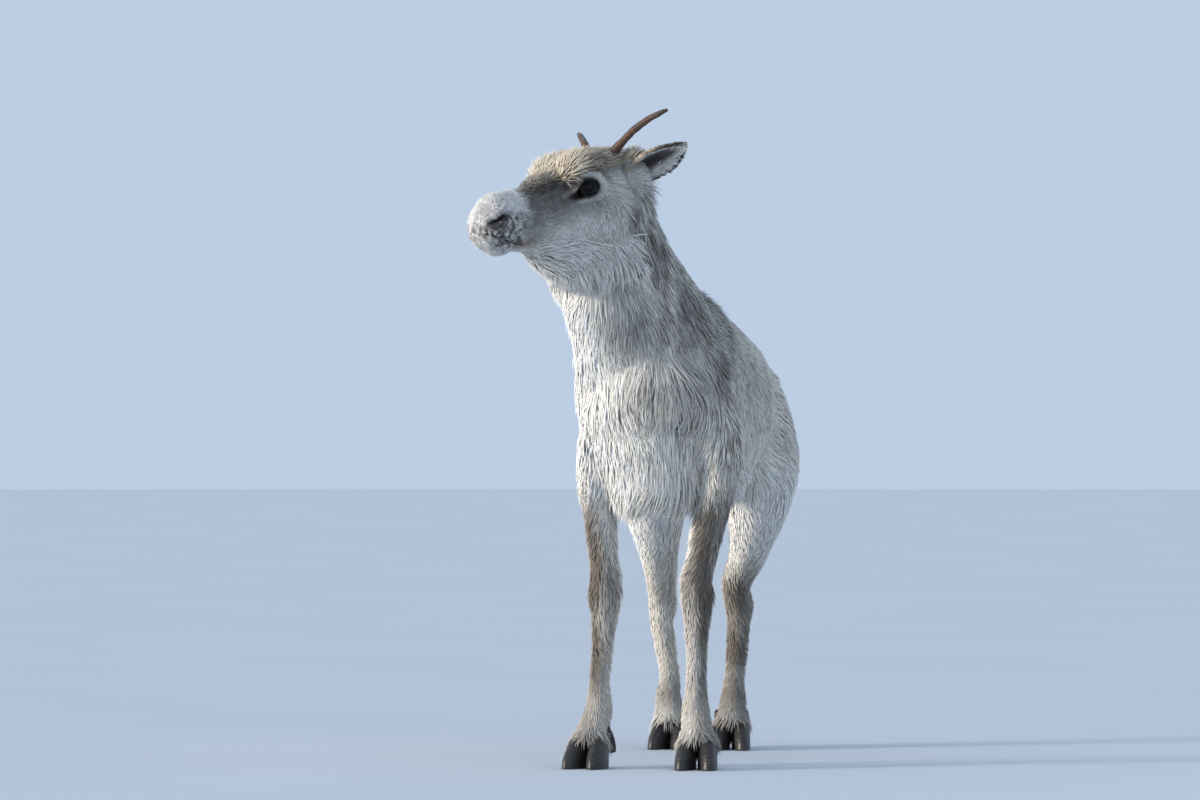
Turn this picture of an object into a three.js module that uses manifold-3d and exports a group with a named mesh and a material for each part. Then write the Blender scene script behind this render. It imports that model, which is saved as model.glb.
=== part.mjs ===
// A standing reindeer calf in its first winter, life size, head up and turned to its own right.
// Millimetres, +Z up. The calf faces -Y and its left side is +X.
import * as THREE from "three";
import { MeshSurfaceSampler } from "three/addons/math/MeshSurfaceSampler.js";
import { mergeVertices } from "three/addons/utils/BufferGeometryUtils.js";
import Module from "manifold-3d";

const wasm = await Module();
wasm.setup();

// Driving sizes of the whole animal
const WITHERS_HEIGHT = 762;
const CROUP_HEIGHT = 700;
const CHEST_FLOOR = 405;
const BELLY_FLOOR = 392;
const BARREL_HALF_WIDTH = 140;
const HEAD_LENGTH = 290;
const GAP = 0.3; // left between two parts that touch
const FRONT_LEG_TOP = 420; // the legs part from the trunk at these heights
const HIND_LEG_TOP = 410;
const KNEE_HEIGHT = 262;
const HOCK_HEIGHT = 232;

// How the head is carried: its back end, and how it is turned and tipped from straight ahead
const HEAD_BACK = [-12, -385, 897];
const HEAD_YAW = -46;
const HEAD_PITCH = 12;

const { degToRad } = THREE.MathUtils;
const UP = new THREE.Vector3(0, 0, 1);
const AHEAD = new THREE.Vector3(0, -1, 0);
const LEFT = 1;
const RIGHT = -1;
const SIDES = { left: LEFT, right: RIGHT };

const vec = (p) => new THREE.Vector3(...p);
const onSide = (side, [x, y, z]) => [side * x, y, z];
const mix = (a, b, share) => a + (b - a) * share;
const curve = (rows) => new THREE.CatmullRomCurve3(rows.map(vec), false, "catmullrom", 0.5);

// Lofts. A station is a place on a part's middle line: half width across, and how far the flesh reaches
// towards `toward` (fore) and away from it (aft). turn swings `toward` about Z, in degrees.
function loftRings(stations, toward, { sides, steps, grow }) {
  const middle = curve(stations.map((s) => s.at));
  const size = curve(stations.map((s) => [s.wide, s.fore, s.aft]));
  const shape = curve(stations.map((s) => [s.turn ?? 0, s.square ?? 1, 0]));
  const count = (stations.length - 1) * steps;
  const rings = [];
  for (let i = 0; i <= count; i++) {
    const t = i / count;
    const centre = middle.getPoint(t);
    const along = middle.getTangent(t);
    const sizes = size.getPoint(t);
    const form = shape.getPoint(t);
    const fore = toward.clone().applyAxisAngle(UP, degToRad(form.x));
    fore.addScaledVector(along, -fore.dot(along)).normalize();
    const side = fore.clone().cross(along);
    const ring = [];
    for (let j = 0; j < sides; j++) {
      const angle = (2 * Math.PI * j) / sides;
      const c = Math.cos(angle);
      const s = Math.sin(angle);
      const across = (sizes.x + grow) * Math.sign(c) * Math.abs(c) ** form.y;
      const deep = ((s > 0 ? sizes.y : sizes.z) + grow) * Math.sign(s) * Math.abs(s) ** form.y;
      ring.push(centre.clone().addScaledVector(side, across).addScaledVector(fore, deep));
    }
    rings.push(ring);
  }
  return rings;
}

// A skin over a row of rings. With two closing points it is capped; without them it runs round in a hoop.
function skinOf(rings, ends) {
  const sides = rings[0].length;
  const points = rings.flat();
  const faces = [];
  const at = (i, j) => (i % rings.length) * sides + (j % sides);
  const spans = ends ? rings.length - 1 : rings.length;
  for (let i = 0; i < spans; i++) {
    for (let j = 0; j < sides; j++) {
      faces.push(at(i, j), at(i, j + 1), at(i + 1, j + 1));
      faces.push(at(i, j), at(i + 1, j + 1), at(i + 1, j));
    }
  }
  if (ends) {
    points.push(...ends);
    for (let j = 0; j < sides; j++) {
      faces.push(points.length - 2, at(0, j + 1), at(0, j));
      faces.push(points.length - 1, at(rings.length - 1, j), at(rings.length - 1, j + 1));
    }
  }
  const geometry = new THREE.BufferGeometry();
  geometry.setAttribute("position", new THREE.Float32BufferAttribute(points.flatMap((p) => p.toArray()), 3));
  geometry.setIndex(faces);
  return geometry;
}

const middleOf = (ring) =>
  ring.reduce((sum, p) => sum.add(p), new THREE.Vector3()).divideScalar(ring.length);

// caps: how far the closing points stand out from the first and the last ring.
function loft(stations, toward, { sides = 12, steps = 2, grow = 0, caps = [0, 0] } = {}) {
  const rings = loftRings(stations, toward, { sides, steps, grow });
  const starts = middleOf(rings[0]);
  const ends = middleOf(rings.at(-1));
  const outStart = starts.clone().sub(middleOf(rings[1])).normalize();
  const outEnd = ends.clone().sub(middleOf(rings.at(-2))).normalize();
  starts.addScaledVector(outStart, caps[0] + grow);
  ends.addScaledVector(outEnd, caps[1] + grow);
  return solid(skinOf(rings, [starts, ends]));
}

// A round bar of one thickness whose middle line is a closed row of points.
function hoop(points, thick, sides = 6) {
  const path = new THREE.CatmullRomCurve3(points, true, "catmullrom", 0.5);
  const rings = points.map((_, i) => {
    const t = i / points.length;
    const centre = path.getPoint(t);
    const along = path.getTangent(t);
    const side = centre.clone().sub(middleOf(points)).cross(along).normalize();
    const out = along.clone().cross(side);
    return Array.from({ length: sides }, (__, j) => {
      const angle = (2 * Math.PI * j) / sides;
      return centre
        .clone()
        .addScaledVector(side, thick * Math.cos(angle))
        .addScaledVector(out, thick * Math.sin(angle));
    });
  });
  return solid(skinOf(rings));
}

// Solids
function solid(geometry) {
  const bare = geometry.clone();
  bare.deleteAttribute("normal");
  bare.deleteAttribute("uv");
  const merged = mergeVertices(bare, 1e-4);
  const made = (triVerts) =>
    new wasm.Manifold(
      new wasm.Mesh({ numProp: 3, vertProperties: merged.attributes.position.array, triVerts }),
    );
  const faces = new Uint32Array(merged.index.array);
  const first = made(faces);
  if (first.volume() >= 0) return first;
  for (let i = 0; i < faces.length; i += 3) [faces[i + 1], faces[i + 2]] = [faces[i + 2], faces[i + 1]];
  return made(faces);
}

const join = (...solids) => wasm.Manifold.union(solids.flat());
const cut = (from, ...tools) => tools.flat().reduce((left, tool) => left.subtract(tool), from);
const placed = (made, matrix) => made.transform(matrix.elements);
const largest = (made) => made.decompose().reduce((a, b) => (a.volume() > b.volume() ? a : b));

function geometryOf(made) {
  const mesh = made.getMesh();
  const geometry = new THREE.BufferGeometry();
  geometry.setAttribute("position", new THREE.BufferAttribute(mesh.vertProperties, 3));
  geometry.setIndex(new THREE.BufferAttribute(mesh.triVerts, 1));
  return geometry;
}

function ball(centre, radii, { turn = [0, 0, 0], detail = [10, 7] } = {}) {
  const geometry = new THREE.SphereGeometry(1, ...detail);
  geometry.scale(...radii);
  geometry.applyMatrix4(new THREE.Matrix4().makeRotationFromEuler(new THREE.Euler(...turn.map(degToRad))));
  geometry.translate(...centre);
  return solid(geometry);
}

// Parts one solid in two along the plane through `through`, half the gap taken off each.
function parted(made, through, normal) {
  const out = vec(normal).normalize();
  const level = out.dot(vec(through));
  return {
    beyond: made.trimByPlane(out.toArray(), level + GAP / 2),
    behind: made.trimByPlane(out.clone().negate().toArray(), -level + GAP / 2),
  };
}

// Torso, from the breast to the rump. rise and drop are the heights of the back and of the belly.
const torsoStation = (y, middle, wide, rise, drop, square = 0.92, x = 0) => ({
  at: [x, y, middle],
  wide,
  fore: rise - middle,
  aft: middle - drop,
  square,
});
const TORSO = [
  torsoStation(-350, 560, 54, 618, 495),
  torsoStation(-325, 572, 96, 668, 452),
  torsoStation(-275, 582, 122, 715, 420),
  torsoStation(-215, 585, 128, 745, CHEST_FLOOR + 6),
  torsoStation(-140, 585, 130, WITHERS_HEIGHT, CHEST_FLOOR),
  torsoStation(-40, 580, BARREL_HALF_WIDTH - 4, 748, BELLY_FLOOR + 6),
  torsoStation(60, 570, BARREL_HALF_WIDTH, 730, BELLY_FLOOR),
  torsoStation(160, 565, BARREL_HALF_WIDTH - 8, 712, BELLY_FLOOR + 20),
  torsoStation(250, 570, 120, CROUP_HEIGHT + 2, 430, 0.92, -4),
  torsoStation(330, 572, 104, CROUP_HEIGHT - 12, 462, 0.92, -6),
  torsoStation(395, 570, 82, CROUP_HEIGHT - 42, 490, 0.95, -6),
  torsoStation(430, 568, 48, CROUP_HEIGHT - 78, 520, 1, -6),
];
const trunkLoft = (grow = 0) => loft(TORSO, UP, { sides: 18, grow, caps: [10, 12] });

// Neck, from inside the shoulders up to the back of the head. Its throat swings round with the head.
const NECK = [
  { at: [0, -195, 610], wide: 104, fore: 134, aft: 110, turn: 0 },
  { at: [-10, -235, 665], wide: 104, fore: 130, aft: 96, turn: -10 },
  { at: [-20, -272, 720], wide: 96, fore: 124, aft: 84, turn: -24 },
  { at: [-32, -306, 772], wide: 84, fore: 122, aft: 74, turn: -36 },
  { at: [-40, -340, 820], wide: 72, fore: 126, aft: 66, turn: -44 },
  { at: [-42, -366, 860], wide: 60, fore: 112, aft: 58, turn: -46 },
  { at: [-36, -388, 896], wide: 44, fore: 50, aft: 46, turn: -46 },
];
const neckLoft = (grow = 0) => loft(NECK, AHEAD, { sides: 18, grow, caps: [0, 8] });
const NECK_SEAM = { through: [0, -180, 752], normal: [0, -110, 165] };

// Breast: one smooth front from the throat down to the brisket, between the shoulders.
const BREAST = [
  { at: [0, -240, 434], wide: 62, fore: 62, aft: 60 },
  { at: [0, -240, 480], wide: 92, fore: 94, aft: 60 },
  { at: [-2, -240, 540], wide: 108, fore: 114, aft: 60 },
  { at: [-6, -242, 600], wide: 112, fore: 121, aft: 60 },
  { at: [-10, -248, 660], wide: 108, fore: 122, aft: 60, turn: -12 },
  { at: [-16, -262, 715], wide: 96, fore: 120, aft: 60, turn: -24 },
];
const breastLoft = (grow = 0) => loft(BREAST, AHEAD, { sides: 14, grow, caps: [6, 0] });

// Head, drawn facing -Y with its back end at the origin, then carried to its place.
const headPlace = new THREE.Matrix4()
  .makeTranslation(...HEAD_BACK)
  .multiply(new THREE.Matrix4().makeRotationZ(degToRad(HEAD_YAW)))
  .multiply(new THREE.Matrix4().makeRotationX(degToRad(HEAD_PITCH)));
const onHead = (made) => placed(made, headPlace);
const skullStation = (ahead, middle, wide, rise, drop, square = 0.9) => ({
  at: [0, -ahead, middle],
  wide,
  fore: rise,
  aft: drop,
  square,
});
const SKULL = [
  skullStation(2, 0, 40, 36, 50, 1),
  skullStation(24, 0, 54, 50, 84),
  skullStation(58, 0, 60, 58, 100),
  skullStation(92, 0, 61, 58, 102),
  skullStation(122, -2, 55, 50, 96),
  skullStation(152, -5, 46, 41, 82),
  skullStation(186, -8, 39, 38, 68),
  skullStation(220, -10, 37, 42, 58),
  skullStation(248, -10, 39, 46, 53),
  skullStation(268, -8, 37, 41, 48),
  skullStation(281, -4, 25, 27, 33, 1),
];
const SKULL_LOFT = { sides: 16, caps: [6, HEAD_LENGTH - 281] };
const skull = (grow = 0) => loft(SKULL, UP, { ...SKULL_LOFT, grow });

// Eyes and lids
const EYE_CENTRE = [46, -110, 9];
const EYE_RADIUS = 17;
const LID = { thick: 3.2, out: 1.5, ahead: 17, behind: 15, above: 11, below: 9, tear: 7, spans: 14 };
const eyeBall = (side, grow = 0) =>
  ball(onSide(side, EYE_CENTRE), Array(3).fill(EYE_RADIUS + grow), { detail: [12, 8] });
function lids(side) {
  const reach = EYE_RADIUS + LID.out;
  const points = [];
  for (let i = 0; i < LID.spans; i++) {
    const angle = (2 * Math.PI * i) / LID.spans;
    const c = Math.cos(angle);
    const s = Math.sin(angle);
    const ahead = c * (c > 0 ? LID.ahead + LID.tear * c ** 4 : LID.behind);
    const rise = s * (s > 0 ? LID.above : LID.below) - (c > 0 ? LID.tear * c ** 4 * 0.5 : 0);
    const out = Math.sqrt(Math.max(reach ** 2 - Math.min(ahead ** 2 + rise ** 2, (reach * 0.9) ** 2), 0));
    points.push(vec([side * (EYE_CENTRE[0] + out), EYE_CENTRE[1] - ahead, EYE_CENTRE[2] + rise]));
  }
  return hoop(points, LID.thick);
}

// Mouth: a line round the muzzle from corner to corner, between two low lips.
const MOUTH = {
  line: [[300, -20], [278, -29.5], [256, -41], [219, -57]],
  half: 60,
  lip: 11,
  lipRise: 1.8,
  slit: 2.4,
  deep: 6,
};
function mouthSlab(thick) {
  const { line, half } = MOUTH;
  const outline = new THREE.Shape();
  line.forEach(([ahead, z], i) => outline[i ? "lineTo" : "moveTo"](-ahead, z + thick / 2));
  line.toReversed().forEach(([ahead, z]) => outline.lineTo(-ahead, z - thick / 2));
  const slab = new THREE.ExtrudeGeometry(outline, { depth: 2 * half, bevelEnabled: false });
  slab.applyMatrix4(
    new THREE.Matrix4().makeBasis(vec([0, 1, 0]), vec([0, 0, 1]), vec([1, 0, 0])).setPosition(-half, 0, 0),
  );
  return solid(slab);
}
const NOSTRIL = {
  at: [32, -264, -7],
  radii: [8, 14, 3.6],
  turn: -22,
  wing: { at: [28, -257, 2], radii: [11, 17, 8] },
};
const BROW = { at: [30, -104, 24], radii: [30, 42, 30] };

// Everything of the head that other parts grow from, with its surface moved out by grow.
function headMass(grow = 0) {
  const bumps = Object.values(SIDES).flatMap((side) => [
    ball(onSide(side, BROW.at), BROW.radii.map((r) => r + grow)),
    ball(onSide(side, NOSTRIL.wing.at), NOSTRIL.wing.radii.map((r) => r + grow)),
  ]);
  return join(skull(grow), bumps);
}

function headSolid() {
  const lips = skull(MOUTH.lipRise).intersect(mouthSlab(MOUTH.lip));
  const sides = Object.values(SIDES);
  const nostrils = sides.map((side) =>
    ball(onSide(side, NOSTRIL.at), NOSTRIL.radii, { turn: [-NOSTRIL.turn, 0, 0] }),
  );
  const sockets = sides.map((side) => eyeBall(side, GAP));
  const mouth = cut(mouthSlab(MOUTH.slit), skull(-MOUTH.deep));
  return cut(join(headMass(), lips, sides.map(lids)), mouth, nostrils, sockets);
}

// Antlers: a bare spike each, the right one shorter. reach is where the tip lies from the root.
const ANTLER_ROOT = [30, -44, 50];
const ANTLER = {
  left: { reach: [85, 57, 54], arch: 9, thick: 6 },
  right: { reach: [-64, 28, 33], arch: 5, thick: 6 },
};
function antler(name) {
  const { reach, arch, thick } = ANTLER[name];
  const root = vec(onSide(SIDES[name], ANTLER_ROOT));
  const shares = [-0.2, -0.02, 0.18, 0.42, 0.68, 0.9, 1];
  const widths = [1.5, 1.5, 1.08, 1, 0.88, 0.72, 0.45];
  const stations = shares.map((share, i) => {
    const at = root.clone().addScaledVector(vec(reach), share);
    at.z += arch * Math.sin(Math.PI * Math.max(share, 0));
    const size = thick * widths[i];
    return { at: at.toArray(), wide: size, fore: size, aft: size };
  });
  return onHead(loft(stations, AHEAD, { sides: 8, caps: [0, 2] }));
}

// Ears: a leaf of even thickness, cupped about its long axis, its hollow turned out and down.
const EAR = {
  root: [46, -22, 8],
  thick: 4.5,
  left: { reach: [80, 42, 40], open: [0.62, -0.35, -0.65] },
  right: { reach: [-62, 68, 24], open: [-0.7, -0.2, -0.65] },
};
const EAR_LEAF = [
  { share: -0.14, half: 17, cup: 15 },
  { share: 0.06, half: 20, cup: 17 },
  { share: 0.24, half: 25, cup: 17 },
  { share: 0.44, half: 27, cup: 15 },
  { share: 0.62, half: 24, cup: 11 },
  { share: 0.79, half: 17, cup: 7 },
  { share: 0.92, half: 9, cup: 3 },
];
const EAR_SPANS = 6;
function ear(name) {
  const { reach, open } = EAR[name];
  const root = vec(onSide(SIDES[name], EAR.root));
  const along = vec(reach).normalize();
  const facing = vec(open);
  facing.addScaledVector(along, -facing.dot(along)).normalize();
  const across = along.clone().cross(facing);
  const rings = EAR_LEAF.map(({ share, half, cup }) => {
    const at = (u, lift) =>
      root
        .clone()
        .addScaledVector(vec(reach), share)
        .addScaledVector(across, half * u)
        .addScaledVector(facing, lift - cup * (1 - u * u));
    const steps = Array.from({ length: EAR_SPANS + 1 }, (_, k) => (2 * k) / EAR_SPANS - 1);
    const back = steps.map((u) => at(u, -EAR.thick / 2));
    const hollow = steps.toReversed().map((u) => at(u, EAR.thick / 2));
    return [...back, ...hollow];
  });
  const tip = root.clone().add(vec(reach));
  return onHead(solid(skinOf(rings, [middleOf(rings[0]), tip])));
}

// Legs. y runs back, so fore is how far a leg reaches ahead of its middle line.
const legStation = (x, y, z, wide, fore, aft) => ({ at: [x, y, z], wide, fore, aft });
const frontLeg = ({ shoulder, elbow, knee, ankle, foot }) => [
  legStation(shoulder, -232, 640, 32, 44, 50),
  legStation(shoulder + 8, -250, 570, 42, 64, 66),
  legStation(elbow + 6, -255, 500, 42, 60, 62),
  legStation(elbow, -252, 440, 33, 44, 50),
  legStation(mix(elbow, knee, 0.35), -256, 390, 27, 34, 40),
  legStation(mix(elbow, knee, 0.7), -266, 335, 24, 28, 31),
  legStation(knee, -274, 296, 25, 25, 25),
  legStation(knee, -277, 268, 27, 27, 25),
  legStation(knee, -276, 238, 23, 23, 23),
  legStation(mix(knee, ankle, 0.5), -277, 190, 18, 18, 20),
  legStation(ankle, -280, 130, 18, 18, 20),
  legStation(ankle, -285, 92, 23, 22, 25),
  legStation(mix(ankle, foot, 0.5), -298, 62, 27, 22, 27),
  legStation(foot, -312, 34, 34, 32, 30),
];
const hindLeg = ({ hip, stifle, hock, ankle, foot }) => [
  legStation(hip, 300, 620, 44, 70, 104),
  legStation(hip + 8, 280, 560, 60, 96, 134),
  legStation(stifle, 262, 490, 62, 96, 138),
  legStation(stifle, 256, 440, 58, 84, 122),
  legStation(mix(stifle, hock, 0.2), 268, 385, 48, 62, 90),
  legStation(mix(stifle, hock, 0.55), 298, 325, 34, 42, 56),
  legStation(hock, 326, 272, 25, 28, 38),
  legStation(hock, 338, 236, 24, 28, 34),
  legStation(hock, 334, 206, 20, 24, 27),
  legStation(mix(hock, ankle, 0.5), 316, 160, 18, 19, 21),
  legStation(ankle, 298, 116, 18, 18, 20),
  legStation(ankle, 286, 86, 22, 21, 25),
  legStation(mix(ankle, foot, 0.5), 268, 60, 26, 22, 27),
  legStation(foot, 252, 34, 32, 32, 30),
];
const LEGS = {
  front_left: {
    stations: frontLeg({ shoulder: 84, elbow: 100, knee: 73, ankle: 72, foot: 80 }),
    top: FRONT_LEG_TOP,
    bend: KNEE_HEIGHT,
    foot: [80, -324],
    splay: 4,
  },
  front_right: {
    stations: frontLeg({ shoulder: -84, elbow: -90, knee: -72, ankle: -80, foot: -90 }),
    top: FRONT_LEG_TOP,
    bend: KNEE_HEIGHT,
    foot: [-90, -324],
    splay: -12,
  },
  hind_left: {
    stations: hindLeg({ hip: 62, stifle: 86, hock: 34, ankle: 34, foot: 36 }),
    top: HIND_LEG_TOP,
    bend: HOCK_HEIGHT,
    foot: [36, 246],
    splay: 6,
  },
  hind_right: {
    stations: hindLeg({ hip: -70, stifle: -92, hock: -94, ankle: -74, foot: -64 }),
    top: HIND_LEG_TOP,
    bend: HOCK_HEIGHT,
    foot: [-64, 246],
    splay: -6,
  },
};

// Feet: two claws on the ground and two dewclaws clear of it behind.
const CLAW = { aside: 17, splay: 7, sole: -6 };
const CLAW_STATIONS = [
  { at: [0, 2, CLAW.sole], wide: 15, fore: 45, aft: 28 },
  { at: [0, 2, 8], wide: 15.5, fore: 41, aft: 28 },
  { at: [0, 5, 22], wide: 15, fore: 31, aft: 25 },
  { at: [0, 10, 36], wide: 13, fore: 22, aft: 18 },
  { at: [0, 13, 46], wide: 9, fore: 13, aft: 11 },
];
const DEWCLAW_STATIONS = [
  { at: [20, 22, 60], wide: 8, fore: 8, aft: 8 },
  { at: [21, 32, 48], wide: 8.5, fore: 8, aft: 9 },
  { at: [22, 40, 34], wide: 8, fore: 7.5, aft: 8.5 },
  { at: [23, 45, 24], wide: 5.5, fore: 5, aft: 6 },
];
function onFoot({ foot, splay }, made, side, aside = 0, turn = 0) {
  const place = new THREE.Matrix4()
    .makeTranslation(foot[0], foot[1], 0)
    .multiply(new THREE.Matrix4().makeRotationZ(degToRad(splay)))
    .multiply(new THREE.Matrix4().makeTranslation(side * aside, 0, 0))
    .multiply(new THREE.Matrix4().makeRotationZ(degToRad(side * turn)));
  return placed(made, place);
}
const claw = (leg, side) =>
  onFoot(leg, loft(CLAW_STATIONS, AHEAD, { sides: 9, steps: 1 }), side, CLAW.aside, CLAW.splay).trimByPlane(
    [0, 0, 1],
    0,
  );
function dewclaw(leg, side) {
  const stations = DEWCLAW_STATIONS.map((s) => ({ ...s, at: [side * s.at[0], s.at[1], s.at[2]] }));
  return onFoot(leg, loft(stations, AHEAD, { sides: 6, steps: 1, caps: [0, 2] }), side);
}

// Tail
const TAIL = [
  { at: [-6, 412, 650], wide: 20, fore: 16, aft: 16 },
  { at: [-6, 444, 636], wide: 25, fore: 18, aft: 18 },
  { at: [-6, 462, 600], wide: 27, fore: 17, aft: 18 },
  { at: [-6, 468, 562], wide: 20, fore: 13, aft: 14 },
  { at: [-6, 468, 534], wide: 9, fore: 7, aft: 7 },
];
const tailLoft = (grow = 0) => loft(TAIL, AHEAD, { sides: 10, grow, caps: [0, 4] });

// Locks: flat, tapered tufts that lie along the coat over one another, each rooted in the flesh.
const LOCK = {
  seed: 11,
  apart: 46,
  tries: 9000,
  half: 21,
  thick: 3.4,
  length: 96,
  sink: 9,
  spread: 0.25,
  rise: [4, 8, 9],
  share: [0.3, 0.68, 1],
  stray: 31, // a lock is left out where its line leaves the flesh by more than this
  freeTip: 0.28, // a tip with no flesh under it hangs this share of the length below the lock
  turn: 0.45, // or where the flesh turns away from its root by more than this cosine
  taper: [0.7, 1, 0.74],
  rootThick: 1.4, // the root against the rest of the lock
  reach: 90, // how far out a lock's line is looked for over the flesh
};
// Where the coat is long, and the slope of the flesh that the fringes hang from
const LONG_COAT = {
  neckTop: 862,
  earClear: 74,
  chest: -235,
  chestFloor: 440,
  fringe: [-0.8, -0.42],
  rump: 330,
  rumpHeights: [440, 600],
  tailClear: 50,
  tailTop: 640,
};

// Which long hair grows at a place on the flesh, and how it lies there. Nothing where the coat is short.
function coatAt(at, out) {
  const onNeck = vec(NECK_SEAM.normal).dot(at.clone().sub(vec(NECK_SEAM.through))) > 0;
  const { neckTop, earClear, chest, chestFloor, fringe, rump, rumpHeights, tailClear } = LONG_COAT;
  if (onNeck) {
    const nearEar = Object.values(SIDES).some(
      (side) => vec(onSide(side, EAR.root)).applyMatrix4(headPlace).distanceTo(at) < earClear,
    );
    return at.z > neckTop || nearEar ? null : { owner: "neck", lie: vec([0.1, 0.55, -1]), size: 1 };
  }
  if (at.y < chest && at.z > chestFloor) return { owner: "torso", lie: vec([0, 0.12, -1]), size: 1.08 };
  const onFringe = out.z > fringe[0] && out.z < fringe[1];
  if (onFringe) return { owner: "torso", lie: vec([0, 0.6, -0.8]), size: 1.15 };
  const onRump = at.y > rump && at.z > rumpHeights[0] && at.z < rumpHeights[1];
  const clear = Math.abs(at.x) > tailClear;
  return onRump && clear ? { owner: "torso", lie: vec([0, 0.25, -1]), size: 1.05 } : null;
}
const tailCoatAt = (at) =>
  at.z < LONG_COAT.tailTop ? { owner: "tail", lie: vec([0, 0.2, -1]), size: 0.56 } : null;

// One lock. Its line keeps to the flesh: each point of it is dropped back on the surface and then raised.
function lock({ root, out, lie, size }, drop, grow = 0) {
  const flow = lie.clone().addScaledVector(out, -lie.dot(out)).normalize();
  const across = flow.clone().cross(out).normalize();
  const long = LOCK.length * size;
  const line = [];
  for (const [i, share] of LOCK.share.entries()) {
    const guess = root.clone().addScaledVector(flow, long * share);
    const under = drop(guess, out);
    const strays = !under || under.point.distanceTo(guess) > LOCK.stray || under.face.dot(out) < LOCK.turn;
    if (strays && i < 2) return null;
    const hanging = () => line[1].clone().addScaledVector(flow, long * LOCK.freeTip).addScaledVector(out, -1);
    line.push(strays ? hanging() : under.point.addScaledVector(under.face, LOCK.rise[i] * size));
  }
  const start = root.clone().addScaledVector(out, -LOCK.sink).addScaledVector(flow, -grow);
  const middles = [start, line[0], line[1]];
  const rings = middles.map((at, i) => {
    const half = LOCK.half * size * LOCK.taper[i] + grow;
    const thick = LOCK.thick * (i === 0 ? LOCK.rootThick : 1) + grow;
    return [
      at.clone().addScaledVector(across, half),
      at.clone().addScaledVector(out, thick),
      at.clone().addScaledVector(across, -half),
      at.clone().addScaledVector(out, -thick),
    ];
  });
  const tip = line[2].addScaledVector(flow, grow * 3);
  return solid(skinOf(rings, [start.clone().addScaledVector(out, -grow), tip]));
}

function growLocks(flesh, coatOf) {
  const skin = new THREE.Mesh(geometryOf(flesh));
  const ray = new THREE.Raycaster();
  const { reach } = LOCK;
  const drop = (at, out) => {
    ray.set(at.clone().addScaledVector(out, reach), out.clone().negate());
    const hit = ray.intersectObject(skin)[0];
    return hit && hit.distance < 2 * reach ? { point: hit.point.clone(), face: hit.face.normal.clone() } : null;
  };
  const { seededRandom } = THREE.MathUtils;
  seededRandom(LOCK.seed);
  const sampler = new MeshSurfaceSampler(skin).setRandomGenerator(() => seededRandom()).build();
  const seeds = [];
  for (let i = 0; i < LOCK.tries; i++) {
    const root = new THREE.Vector3();
    const out = new THREE.Vector3();
    sampler.sample(root, out);
    const coat = coatOf(root, out);
    if (!coat || seeds.some((s) => s.root.distanceTo(root) < LOCK.apart * coat.size)) continue;
    const lie = coat.lie.clone();
    lie.x += (seededRandom() - 0.5) * LOCK.spread;
    seeds.push({ ...coat, root, out, lie });
  }
  return (owner, grow) =>
    seeds
      .filter((s) => s.owner === owner)
      .map((s) => lock(s, drop, grow))
      .filter((made) => made !== null);
}

// The nodes
const node = {};
const haunches = [];
const haunchesGrown = [];
const legsGrown = [];
for (const [name, leg] of Object.entries(LEGS)) {
  const whole = loft(leg.stations, AHEAD, { sides: 10 });
  const top = parted(whole, [0, 0, leg.top], [0, 0, -1]);
  const joint = parted(top.beyond, [0, 0, leg.bend], [0, 0, -1]);
  const grown = loft(leg.stations, AHEAD, { sides: 10, grow: GAP });
  haunches.push(top.behind);
  haunchesGrown.push(parted(grown, [0, 0, leg.top + GAP], [0, 0, -1]).behind);
  legsGrown.push(parted(grown, [0, 0, leg.top + GAP], [0, 0, -1]).beyond);
  node["leg_" + name + "_upper"] = joint.behind;
  node["leg_" + name + "_lower"] = joint.beyond;
  const inward = Math.sign(leg.foot[0]);
  for (const [place, side] of [["outer", inward], ["inner", -inward]]) {
    node["hoof_" + name + "_" + place] = cut(claw(leg, side), grown);
    node["dewclaw_" + name + "_" + place] = cut(dewclaw(leg, side), grown, claw(leg, side));
  }
}
const headGrown = onHead(headMass(GAP));
const flesh = join(trunkLoft(), neckLoft(), breastLoft(), haunches);
const fleshGrown = join(trunkLoft(GAP), neckLoft(GAP), breastLoft(GAP), haunchesGrown);
const fore = parted(flesh, NECK_SEAM.through, NECK_SEAM.normal);
const foreGrown = parted(fleshGrown, NECK_SEAM.through, NECK_SEAM.normal);
const locks = growLocks(flesh, coatAt);
const tailLocks = growLocks(tailLoft(), tailCoatAt);
const tailGrown = join(tailLoft(GAP), tailLocks("tail", GAP));
const torsoWhole = join(fore.behind, locks("torso", 0));
node.neck = cut(join(fore.beyond, locks("neck", 0)), foreGrown.behind, headGrown);
const neckGrown = join(node.neck, locks("neck", GAP), foreGrown.beyond);
node.torso = cut(torsoWhole, neckGrown, legsGrown, tailGrown);
node.tail = cut(join(tailLoft(), tailLocks("tail", 0)), trunkLoft(GAP));
node.head = onHead(headSolid());
for (const name of Object.keys(SIDES)) {
  node["eye_" + name] = onHead(eyeBall(SIDES[name]));
  node["antler_" + name] = cut(antler(name), headGrown);
  node["ear_" + name] = cut(ear(name), headGrown, neckLoft(GAP), antler(name));
}

const COLOURS = { coat: 0xd8d2c8, horn: 0x17161a, antler: 0x6b4a3a, eye: 0x0c0b0c };
const colourOf = (name) => {
  if (name.startsWith("eye")) return COLOURS.eye;
  if (name.startsWith("antler")) return COLOURS.antler;
  return name.includes("claw") || name.startsWith("hoof") ? COLOURS.horn : COLOURS.coat;
};

const group = new THREE.Group();
for (const [name, made] of Object.entries(node)) {
  const material = new THREE.MeshStandardMaterial({ color: colourOf(name), roughness: 0.9 });
  const shown = new THREE.Mesh(geometryOf(largest(made)), material);
  shown.name = name;
  group.add(shown);
}

// The origin is the middle of the whole calf's footprint, on the ground.
const box = new THREE.Box3().setFromObject(group);
const centre = box.getCenter(new THREE.Vector3());
group.position.set(-centre.x, -centre.y, -box.min.z);
export default group;
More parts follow.
